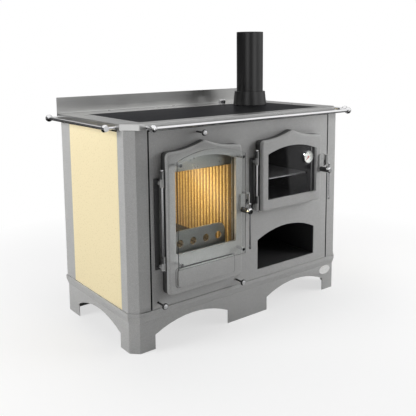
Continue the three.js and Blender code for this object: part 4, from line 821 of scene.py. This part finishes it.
# ---------------------------------------------------------------- screws
def screw_head(radius, height):
    """A pan head with a cross recess, standing on Z = 0."""
    head = turned_piece("screw_head_pattern", [
        (0, 0), (radius, 0), (radius, height * 0.35), (radius * 0.86, height * 0.78),
        (radius * 0.6, height * 0.96), (0, height)], Matrix.Identity(4), 20)
    cutter = bmesh.new()
    slot = Matrix.Diagonal((radius * 1.1, radius * 0.26, height, 1))
    for turn in (0, RIGHT_ANGLE):
        place = Matrix.Translation((0, 0, height)) @ Matrix.Rotation(turn, 4, "Z")
        bmesh.ops.create_cube(cutter, size=1, matrix=place @ slot)
    recess = mesh_object("screw_recess", cutter)
    change(head.modifiers.new("Recess", "BOOLEAN"), object=recess, operation="DIFFERENCE", use_self=True)
    made = plain_mesh(head, "screw_head")
    bpy.data.objects.remove(recess)
    return made


def screw_tree():
    """Screw heads at the vertices of a mesh, turned at random about their axis, facing a given way."""
    tree, inside, out = geometry_tree("Screws on points", {
        "Head": "NodeSocketObject", "Facing": (0, 0, 0), "Seed": 3, "Finish": MATERIAL})
    head = reckon("GeometryNodeObjectInfo", {"Object": inside["Head"]})["Geometry"]
    spin = reckon("FunctionNodeRandomValue", {2: 0.0, 3: 3.14, "Seed": inside["Seed"]})[1]
    placed = reckon("GeometryNodeInstanceOnPoints", {
        "Points": inside["Geometry"], "Instance": head, "Rotation": inside["Facing"]})[0]
    turned = reckon("GeometryNodeRotateInstances", {"Instances": placed, "Rotation": vector(Z=spin)})[0]
    give(out, Geometry=realised(turned, inside["Finish"]))
    return tree


def points_mesh(name, points):
    mesh = bpy.data.meshes.new(name)
    mesh.from_pydata(points, [], [])
    return mesh


def spaced(low, high, count):
    return [low + (high - low) * i / (count - 1) for i in range(count)]


FACE_FRONT = (RIGHT_ANGLE, 0, 0)
FACE_BACK = (-RIGHT_ANGLE, 0, 0)
REAR_INSET = 12 * MM            # rear screws from the upright edges, three times as much from the others
STRIP_FACE = 4 * MM             # face of a hinge strip in front of the panel


def rear_screw_points():
    """Screws along all four edges of the rear casing."""
    low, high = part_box("rear_casing")
    xs = spaced(low.x + REAR_INSET, high.x - REAR_INSET, 6)
    zs = spaced(low.z + 3 * REAR_INSET, high.z - 3 * REAR_INSET, 5)
    return [(x, high.y, z) for x in xs for z in (zs[0], zs[-1])] + [
        (x, high.y, z) for x in (xs[0], xs[-1]) for z in zs[1:-1]]


def strip_screw_points():
    """A screw through each hinge strip at the height of either arm."""
    points = []
    for side in ("fire", "oven"):
        low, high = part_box(side + "_hinge_mount")
        points += [(low.x + 6.5 * MM, high.y - STRIP_FACE, z) for z in (low.z + 14 * MM, high.z - 15 * MM)]
    return points


# ---------------------------------------------------------------- oven rack
def rack_tree():
    """Parallel wires with rounded profile, laid side by side along X."""
    tree, inside, out = geometry_tree("Rack wires", {
        "Count": 12, "First": VECTOR, "Step": (0.02, 0, 0), "Wire": (0, 0.3, 0), "Radius": 0.002,
        "Finish": MATERIAL})
    places = reckon("GeometryNodeMeshLine", {
        "Count": inside["Count"], "Start Location": inside["First"], "Offset": inside["Step"],
    }, mode="OFFSET")[0]
    line = reckon("GeometryNodeCurvePrimitiveLine", {"End": inside["Wire"]})[0]
    ring = reckon("GeometryNodeCurvePrimitiveCircle", {"Resolution": 10, "Radius": inside["Radius"]})[0]
    wire = reckon("GeometryNodeCurveToMesh", {"Curve": line, "Profile Curve": ring, "Fill Caps": True})[0]
    wires = reckon("GeometryNodeInstanceOnPoints", {"Points": places, "Instance": smoothed(wire)})[0]
    give(out, Geometry=realised(wires, inside["Finish"]))
    return tree


# ---------------------------------------------------------------- dial
DIAL_CUP = 4 * MM               # depth of the thermometer's cup
DIAL_RADIUS = 24.6 * MM
DIAL_SIDES = 48
DIAL_START = math.radians(225)
DIAL_SWEEP = math.radians(270)
DIAL_NUMBERS = 6
DIAL_STEP = 100                 # from one number to the next
TICKS_PER_NUMBER = 5
PRINT_LIFT = 0.16 * MM          # back of the print in front of the cup's floor
COVER_DEPTH = 0.95 * MM         # back of the cover glass behind the thermometer's front


def tick_tree():
    """Thin bars set round part of a circle; every so many bars is a long one."""
    tree, inside, out = geometry_tree("Dial ticks", {
        "Radius": 0.02, "Count": 26, "Every": 5, "Length": 0.003, "Width": 0.0005, "Start": 0.0, "Sweep": 4.7,
        "Finish": MATERIAL})
    line = reckon("GeometryNodeMeshLine", {"Count": inside["Count"]})[0]
    index = add(tree, "GeometryNodeInputIndex").outputs[0]
    share = maths("DIVIDE", index, maths("SUBTRACT", inside["Count"], 1))
    turn = maths("SUBTRACT", inside["Start"], times(inside["Sweep"], share))
    is_long = maths("COMPARE", maths("MODULO", index, inside["Every"]), 0.0, 0.1)
    size = times(inside["Length"], maths("MULTIPLY_ADD", is_long, 0.45, 0.55))
    thick = times(inside["Width"], maths("MULTIPLY_ADD", is_long, 0.6, 0.8))
    middle = maths("SUBTRACT", inside["Radius"], maths("DIVIDE", size, 2))
    spot = vector(X=times(middle, maths("COSINE", turn)), Y=times(middle, maths("SINE", turn)))
    points = reckon("GeometryNodeSetPosition", {"Geometry": line, "Position": spot})[0]
    bar = add(tree, "GeometryNodeMeshCube").outputs["Mesh"]
    bars = reckon("GeometryNodeInstanceOnPoints", {
        "Points": points, "Instance": bar, "Rotation": vector(Z=turn),
        "Scale": vector(X=size, Y=thick, Z=0.08 * MM)})[0]
    give(out, Geometry=realised(bars, inside["Finish"]))
    return tree


def number_object(text, height, place):
    """One number as a flat mesh, centred on its place."""
    curve = bpy.data.curves.new("number", "FONT")
    change(curve, body=text, size=height, align_x="CENTER", align_y="CENTER", extrude=0.03 * MM)
    made = plain_mesh(link(bpy.data.objects.new("number", curve)), "number_" + text)
    made.data.transform(place)
    return made


def join_objects(name, objects):
    """Several objects' meshes as one object; they keep their places."""
    bm = bmesh.new()
    for obj in objects:
        bm.from_mesh(obj.data)
        bpy.data.objects.remove(obj)
    return mesh_object(name, bm)


# ---------------------------------------------------------------- trim
STRIP_NOSE = 0.6 * MM           # rounding of a joint strip
STRIP_PROUD = 0.7 * MM          # its front ahead of the front panel
STRIP_LAP = 1.2 * MM            # its overlap over either side of the joint
SHADE_BAND_HEIGHT = 7 * MM
SHADE_BAND_REACH = 0.9 * MM           # front of the band of painted shade ahead of the body
SHADE_BAND_CHAMFER = 1 * MM
PANE_BAND = 0.35 * MM


def joint_shade_strip(bm, x_low, x_high, front, z_low, z_high):
    """A dark strip of painted shade with rounded long edges, standing in a joint."""
    nose = front + STRIP_NOSE
    back = nose + 0.05 * MM
    outline = [(x_low, back), (x_low, nose), (x_low + STRIP_NOSE, front), (x_high - STRIP_NOSE, front),
               (x_high, nose), (x_high, back)]
    add_sleeve(bm, [[(x, y, z) for x, y in outline] for z in (z_low, z_high)])


def hob_seal(bm, z_low, z_high):
    """A dark band of painted shade round the sides, the chamfers and the front of the body, just under the
    hob.
    """
    front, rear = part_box("front_panel")[0].y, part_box("rear_casing")[1].y - 2 * MM
    low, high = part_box("post_left")
    left = [Vector((low.x, rear)), Vector((low.x, high.y)), Vector((high.x, front))]
    path = left + [Vector((-point.x, point.y)) for point in reversed(left)]
    section = [(-0.6, z_low), (0.6, z_low), (1.0, z_low + SHADE_BAND_CHAMFER), (1.0, z_high - SHADE_BAND_CHAMFER),
               (0.6, z_high), (-0.6, z_high)]
    rings = []
    for i, point in enumerate(path):
        runs = [path[j + 1] - path[j] for j in (i - 1, i) if 0 <= j < len(path) - 1]
        normals = [Vector((run.y, -run.x)).normalized() for run in runs]
        mitre = sum(normals, Vector((0, 0)))
        mitre *= len(normals) / mitre.length_squared * SHADE_BAND_REACH
        rings.append([(*(point + mitre * share), z) for share, z in section])
    add_sleeve(bm, rings)


def pane_shade_band(name, node):
    """A thin dark band of painted shade round the ground edges of a pane, its drilled holes among them."""
    bm = bmesh.new()
    bm.from_mesh(NODES[node].data)
    bmesh.ops.remove_doubles(bm, verts=bm.verts, dist=WELD_DISTANCE)
    flats = [face for face in bm.faces if abs(face.normal.y) > 0.5]
    bmesh.ops.delete(bm, geom=flats, context="FACES")
    band = mesh_object(name + "_maker", bm, closed=False)
    change(band.modifiers.new("Shell", "SOLIDIFY"), thickness=PANE_BAND, offset=1.0, use_even_offset=True)
    return plain_mesh(band, name)


# ---------------------------------------------------------------- operators
class FinishNodes:
    """Shared work of the operators that dress nodes of the frame."""

    bl_options = {"REGISTER"}
    nodes = ()

    def execute(self, context):
        for name in self.nodes:
            dress_node(context, name)
        return {"FINISHED"}


class STOVE_OT_casing(FinishNodes, bpy.types.Operator):
    """Flecked grey paint on plinth and body, cream enamel on the sides"""

    bl_idname = "stove.casing"
    bl_label = "Casing"
    nodes = ("plinth_front", "plinth_surround", "plinth_cornice", "base_plate", "post_left", "post_right",
             "side_panel_left", "side_panel_right", "rear_casing", "front_panel", "wood_niche")


class STOVE_OT_hob(FinishNodes, bpy.types.Operator):
    """Brushed frame and upstand, ground plate, knob, black flue"""

    bl_idname = "stove.hob"
    bl_label = "Hob and flue"
    nodes = ("hob_frame", "hob_plate", "rear_upstand", "hob_knob", "flue_collar", "flue_pipe")


class STOVE_OT_rails(FinishNodes, bpy.types.Operator):
    """Chrome rails round the hob and the three pulls"""

    bl_idname = "stove.rails"
    bl_label = "Rails and pulls"
    nodes = ("rail_front", "rail_left", "rail_right", "bypass_damper_pull", "primary_air_pull",
             "secondary_air_pull")


class STOVE_OT_firebox(FinishNodes, bpy.types.Operator):
    """Firebox shell, ribbed lining, castings and ash pan"""

    bl_idname = "stove.firebox"
    bl_label = "Firebox"
    nodes = ("firebox_shell", "lining_left", "lining_right", "lining_back", "grate", "ash_pan", "ember_guard",
             "air_wash_plate", "baffle", "smoke_channel")


class STOVE_OT_oven(FinishNodes, bpy.types.Operator):
    """Enamelled oven and its wire rack"""

    bl_idname = "stove.oven"
    bl_label = "Oven"
    nodes = ("oven_box", "oven_rack")
    inset = 8 * MM          # outer wires from the rack's ends
    overhang = 1 * MM       # wires ahead of the rack's front

    def execute(self, context):
        sizes = context.scene.stove_sizes
        low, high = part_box("oven_rack")
        radius = sizes.wire_radius
        first = Vector((low.x + self.inset, low.y - self.overhang, high.z + radius * 0.8))
        step = Vector(((high.x - low.x - 2 * self.inset) / (sizes.rack_bars - 1), 0, 0))
        wires = run_tree(rack_tree(), "rack_wires", Count=sizes.rack_bars, First=first, Step=step,
                         Wire=(0, high.y - low.y, 0), Radius=radius, Finish=finish(context, "rack_steel"))
        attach(wires, "stove")
        return super().execute(context)


class STOVE_OT_doors(FinishNodes, bpy.types.Operator):
    """Both doors with glass, rope, hinges, latch cases and keepers"""

    bl_idname = "stove.doors"
    bl_label = "Doors"
    nodes = ("fire_door_frame", "fire_door_glass", "fire_door_seal", "fire_hinge_rod", "fire_latch_case",
             "outer_pane", "pane_pin_lower_left", "pane_pin_upper_left", "pane_pin_lower_right",
             "pane_pin_upper_right", "fire_hinge_mount", "fire_keeper", "oven_door_frame", "oven_door_glass",
             "oven_door_seal", "oven_hinge_rod", "oven_latch_case", "oven_hinge_mount", "oven_keeper")


class STOVE_OT_handles(FinishNodes, bpy.types.Operator):
    """Spindles, levers, thermometer and its pointer"""

    bl_idname = "stove.handles"
    bl_label = "Handles and thermometer"
    nodes = ("fire_spindle", "fire_lever", "oven_spindle", "oven_lever", "thermometer", "thermometer_needle")


class STOVE_OT_trim(bpy.types.Operator):
    """Painted shade: dark strips in the joints of the front, a dark band under the hob and dark bands round
    the outer pane
    """

    bl_idname = "stove.trim"
    bl_label = "Trim"

    def execute(self, context):
        low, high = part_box("front_panel")
        bm = bmesh.new()
        for edge, post in ((low.x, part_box("post_left")[1].x), (high.x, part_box("post_right")[0].x)):
            start, end = sorted((edge, post))
            joint_shade_strip(bm, start - STRIP_LAP, end + STRIP_LAP, low.y - STRIP_PROUD, low.z + 0.2 * MM,
                        high.z - 4 * MM)
        strips = mesh_object("joint_strips", bm)
        set_finish(context, strips, "painted_shade_trim")
        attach(strips, "stove")
        bm = bmesh.new()
        # band of painted shade under the hob's rim
        hob_seal(bm, high.z - SHADE_BAND_HEIGHT, high.z - 0.1 * MM)
        shade_band = mesh_object("hob_seal", bm)
        set_finish(context, shade_band, "painted_shade_trim")
        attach(shade_band, "stove")
        # dark band of painted shade round the outer pane
        band = pane_shade_band("outer_pane_edge", "outer_pane")
        set_finish(context, band, "pane_edge_shade")
        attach(band, "fire_door")
        return {"FINISHED"}


class STOVE_OT_dial(bpy.types.Operator):
    """White face, ticks, numbers and cover glass of the oven thermometer"""

    bl_idname = "stove.dial"
    bl_label = "Dial"

    def execute(self, context):
        low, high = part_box("thermometer")
        x, z = (low.x + high.x) / 2, (low.z + high.z) / 2
        floor = low.y + DIAL_CUP
        rim = DIAL_RADIUS
        face = turned_piece("dial_face", [
            (0, 0), (rim, 0), (rim, 2.9 * MM), (rim - 0.9 * MM, 2.9 * MM), (rim - 1.1 * MM, 0.3 * MM),
            (rim - 1.4 * MM, 0.1 * MM), (0, 0.1 * MM)], facing_front(x, floor - 0.02 * MM, z), DIAL_SIDES)
        set_finish(context, face, "dial_face")
        ticks, scale = self.make_print(context, facing_front(x, floor - PRINT_LIFT, z))
        cover = turned_piece("dial_cover", [
            (0, 0), (rim - 0.4 * MM, 0), (rim - 0.15 * MM, 0), (rim, 0.12 * MM), (rim, 0.38 * MM),
            (rim - 0.15 * MM, 0.5 * MM), (rim - 0.4 * MM, 0.5 * MM), (rim * 0.6, 0.6 * MM), (0, 0.62 * MM)],
            facing_front(x, low.y + COVER_DEPTH, z), DIAL_SIDES)
        set_finish(context, cover, "glass")
        for piece in (face, ticks, scale, cover):
            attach(piece, "oven_door")
        return {"FINISHED"}

    @staticmethod
    def make_print(context, place):
        """Ticks and numbers of the dial."""
        sizes = context.scene.stove_sizes
        ticks = run_tree(tick_tree(), "dial_ticks", Radius=DIAL_RADIUS - 1.7 * MM,
                         Count=(DIAL_NUMBERS - 1) * TICKS_PER_NUMBER + 1, Every=TICKS_PER_NUMBER,
                         Length=sizes.tick_length, Width=0.45 * MM, Start=DIAL_START, Sweep=DIAL_SWEEP,
                         Finish=finish(context, "dial_print"))
        ticks.data.transform(place)
        reach = DIAL_RADIUS - sizes.tick_length - 4.8 * MM
        numbers = []
        for i in range(DIAL_NUMBERS):
            turn = DIAL_START - DIAL_SWEEP * i / (DIAL_NUMBERS - 1)
            spot = Matrix.Translation((reach * math.cos(turn), reach * math.sin(turn), 0))
            numbers.append(number_object(str(DIAL_STEP * i), sizes.number_height, place @ spot))
        scale = join_objects("dial_numbers", numbers)
        set_finish(context, scale, "dial_print")
        return ticks, scale


class STOVE_OT_plate(bpy.types.Operator):
    """Blank oval plate on the right leg of the plinth"""

    bl_idname = "stove.plate"
    bl_label = "Oval plate"
    middle = (0.4775, 0.0962)       # across and up
    section = ((0, 0), (1, 0), (1, 0.9), (0.985, 1.3), (0.95, 1.5), (0.90, 1.3), (0.88, 1.1), (0.5, 1.35),
               (0, 1.45))           # share of the half width, thickness in millimetres

    def execute(self, context):
        sizes = context.scene.stove_sizes
        place = facing_front(self.middle[0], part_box("plinth_front")[0].y, self.middle[1])
        squash = Matrix.Diagonal((sizes.plate_width / 2, sizes.plate_height / 2, MM, 1))
        plate = turned_piece("oval_plate", self.section, place @ squash, 64)
        set_finish(context, plate, "plate_face")
        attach(plate, "stove")
        return {"FINISHED"}


class STOVE_OT_screws(bpy.types.Operator):
    """Screws of the rear casing and the hinge strips"""

    bl_idname = "stove.screws"
    bl_label = "Screws"

    def execute(self, context):
        sizes = context.scene.stove_sizes
        head = screw_head(sizes.screw_radius, sizes.screw_height)
        tree = screw_tree()
        rows = {
            "rear_screws": (rear_screw_points(), FACE_BACK, "chrome"),
            "hinge_screws": (strip_screw_points(), FACE_FRONT, "oven_enamel"),
        }
        for seed, (name, (points, facing, look)) in enumerate(rows.items()):
            screws = run_tree(tree, name, points_mesh(name + "_points", points), Head=head, Facing=facing,
                              Seed=seed, Finish=finish(context, look))
            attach(screws, "stove")
        bpy.data.objects.remove(head)
        return {"FINISHED"}


# ---------------------------------------------------------------- stage
SOFTBOXES = {       # label, place, what it faces, width and height
    "left": ("Left softbox", (-3.0, 0.55, 1.4), (0, 0.1, 0.45), (1.2, 1.6)),
    "graze": ("Grazing softbox", (1.5, -0.8, 0.9), (0.3, -0.24, 0.5), (0.5, 1.2)),
    "right": ("Right softbox", (2.3, -2.2, 1.4), (0.3, 0, 0.5), (1.2, 1.6)),
    "top": ("Top softbox", (0.2, 0.3, 3.2), (0, 0, 0.5), (2.4, 2.0)),
}
FLOOR_HALF = 9.0
FLOOR_SHADED = (0.7, 1.8)       # distances from the middle over which the floor turns fully white,
FLOOR_DIM = (1.4, 3.2)          # over which shiny surfaces see it brighten from near the stove,
FLOOR_BRIGHT = (5.5, 7.5)       # and over which it brightens further
FLOOR_NEAR_LEVEL = 0.12
FLOOR_FAR_LEVEL = 0.5


def softbox(name, place, target, energy, size, tint=(1, 1, 1)):
    """An area light that shiny surfaces don't see."""
    light = bpy.data.lights.new(name, "AREA")
    change(light, shape="RECTANGLE", size=size[0], size_y=size[1], energy=energy, color=tint)
    turn = (Vector(target) - Vector(place)).to_track_quat("-Z", "Y").to_euler()
    obj = link(bpy.data.objects.new(name, light))
    change(obj, location=place, rotation_euler=turn, visible_glossy=False)


def ray_kinds(tree):
    """Masks of the rays that left a shiny surface, and of those that show a thing to the eye."""
    paths = add(tree, "ShaderNodeLightPath").outputs
    seen = maths("MAXIMUM", paths["Is Camera Ray"], paths["Is Transmission Ray"])
    return paths["Is Glossy Ray"], seen


def white_light(tree, kind, strength):
    return add(tree, kind, {"Color": WHITE, "Strength": strength}).outputs[0]


def mirrored_level(studio, way, height):
    """Brightness of the mirrored room, with the studio's strengths."""
    return use_group(
        way.id_data, "Mirrored room", Way=way, Height=height, Gloom=studio.gloom, Ahead=studio.panel_ahead,
        Left=studio.panel_left, Right=studio.panel_right, Back=studio.panel_back, Slit=studio.panel_slit,
        Ceiling=studio.ceiling)["Level"]


class STOVE_OT_stage(bpy.types.Operator):
    """Camera at the photograph's angle, pale floor, white room and soft light"""

    bl_idname = "stove.stage"
    bl_label = "Stage"

    def execute(self, context):
        studio = context.scene.stove_studio
        context.scene.view_settings.view_transform = "Standard"
        self.make_camera(context, studio)
        self.make_floor(studio)
        self.make_room(context, studio)
        for key, (label, place, target, size) in SOFTBOXES.items():
            softbox(label, place, target, getattr(studio, key), size)
        self.make_lamps(studio)
        return {"FINISHED"}

    @staticmethod
    def make_lamps(studio):
        """A warm lamp near the firebox's left front corner, and one under the oven's roof at the front."""
        low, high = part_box("firebox_shell")
        softbox("Firebox lamp", (low.x + 0.14, low.y + 0.12, 0.56), (high.x, high.y - 0.16, 0.50),
                studio.firebox, (0.10, 0.10), studio.lamp_tint)
        low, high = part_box("oven_box")
        middle = (low.x + high.x) / 2
        softbox("Oven lamp", (middle, low.y + 0.012, high.z - 0.02), (middle, low.y + 0.07, low.z),
                studio.oven, (0.25, 0.02))

    @staticmethod
    def make_camera(context, studio):
        data = bpy.data.cameras.new("Camera")
        change(data, sensor_width=36, lens=studio.lens, shift_y=studio.rise)
        camera = link(bpy.data.objects.new("Camera", data))
        camera.location = studio.camera_place
        turn = Matrix.Rotation(-studio.yaw, 3, "Z") @ Matrix.Rotation(RIGHT_ANGLE - studio.pitch, 3, "X")
        camera.rotation_euler = (turn @ Matrix.Rotation(studio.roll, 3, "Z")).to_euler()
        context.scene.camera = camera

    @staticmethod
    def make_floor(studio):
        """White to the eye apart from some shade; shiny surfaces see it as they see the room."""
        bm = bmesh.new()
        bmesh.ops.create_grid(bm, x_segments=1, y_segments=1, size=FLOOR_HALF)
        floor = mesh_object("floor", bm, closed=False)
        material, tree, _ = surface(
            "Floor", Base_Color=(0.88, 0.88, 0.88, 1), Roughness=0.9, Specular_IOR_Level=0.1)
        place = own_place(tree)
        reach = vector_maths("LENGTH", place)["Value"]
        clean = fade(reach, *FLOOR_SHADED, 1.0 - studio.shade, 1.0)
        glossy, seen = ray_kinds(tree)
        matt = tree.nodes["Principled BSDF"].outputs[0]
        white = white_light(tree, "ShaderNodeEmission", 1.0)
        shown = blend_shaders(times(seen, clean), matt, white)
        near = times(mirrored_level(studio, place, -1.0), fade(reach, *FLOOR_DIM, FLOOR_NEAR_LEVEL, 1.0))
        level = maths("MULTIPLY_ADD", fade(reach, *FLOOR_BRIGHT), FLOOR_FAR_LEVEL, near)
        mirrored = white_light(tree, "ShaderNodeEmission", level)
        give(tree.nodes["Material Output"].inputs, Surface=blend_shaders(glossy, shown, mirrored))
        floor.data.materials.append(material)

    @staticmethod
    def make_room(context, studio):
        """White to the eye; shiny surfaces see a dim room with a bright ceiling and light panels."""
        world = bpy.data.worlds.new("Room")
        context.scene.world = world
        world.use_nodes = True
        tree = world.node_tree
        even = tree.nodes["Background"]
        give(even.inputs, Color=WHITE, Strength=studio.ambient)
        way = add(tree, "ShaderNodeTexCoord").outputs["Generated"]
        level = mirrored_level(studio, way, axes(way)["Z"])
        mirrored = white_light(tree, "ShaderNodeBackground", level)
        glossy, seen = ray_kinds(tree)
        unseen = blend_shaders(glossy, even.outputs[0], mirrored)
        shown = blend_shaders(seen, unseen, white_light(tree, "ShaderNodeBackground", 1.0))
        give(tree.nodes["World Output"].inputs, Surface=shown)


PIECES = (STOVE_OT_casing, STOVE_OT_hob, STOVE_OT_rails, STOVE_OT_firebox, STOVE_OT_oven, STOVE_OT_doors,
          STOVE_OT_handles, STOVE_OT_trim, STOVE_OT_dial, STOVE_OT_plate, STOVE_OT_screws, STOVE_OT_stage)


class STOVE_PT_panel(bpy.types.Panel):
    """Sidebar panel with every step and setting."""

    bl_idname = "STOVE_PT_panel"
    bl_label = "Cookstove"
    bl_space_type = "VIEW_3D"
    bl_region_type = "UI"
    bl_category = "Cookstove"

    def draw(self, context):
        for piece in PIECES:
            self.layout.operator(piece.bl_idname)
        for group in (context.scene.stove_colours, context.scene.stove_sizes, context.scene.stove_studio):
            box = self.layout.box()
            for name in group.bl_rna.properties.keys():
                if name not in {"rna_type", "name"}:
                    box.prop(group, name)


GROUPS = {"stove_colours": StoveColours, "stove_sizes": StoveSizes, "stove_studio": StudioSettings}


def register():
    for cls in (*GROUPS.values(), *PIECES, STOVE_PT_panel):
        bpy.utils.register_class(cls)
    for name, cls in GROUPS.items():
        setattr(bpy.types.Scene, name, PointerProperty(type=cls))


def unregister():
    for name in GROUPS:
        delattr(bpy.types.Scene, name)
    for cls in reversed((*GROUPS.values(), *PIECES, STOVE_PT_panel)):
        bpy.utils.unregister_class(cls)


def main():
    register()
    for piece in PIECES:
        space, name = piece.bl_idname.split(".")
        if getattr(getattr(bpy.ops, space), name)() != {"FINISHED"}:
            raise RuntimeError(piece.bl_label + " didn't finish")


if __name__ == "__main__":
    main()
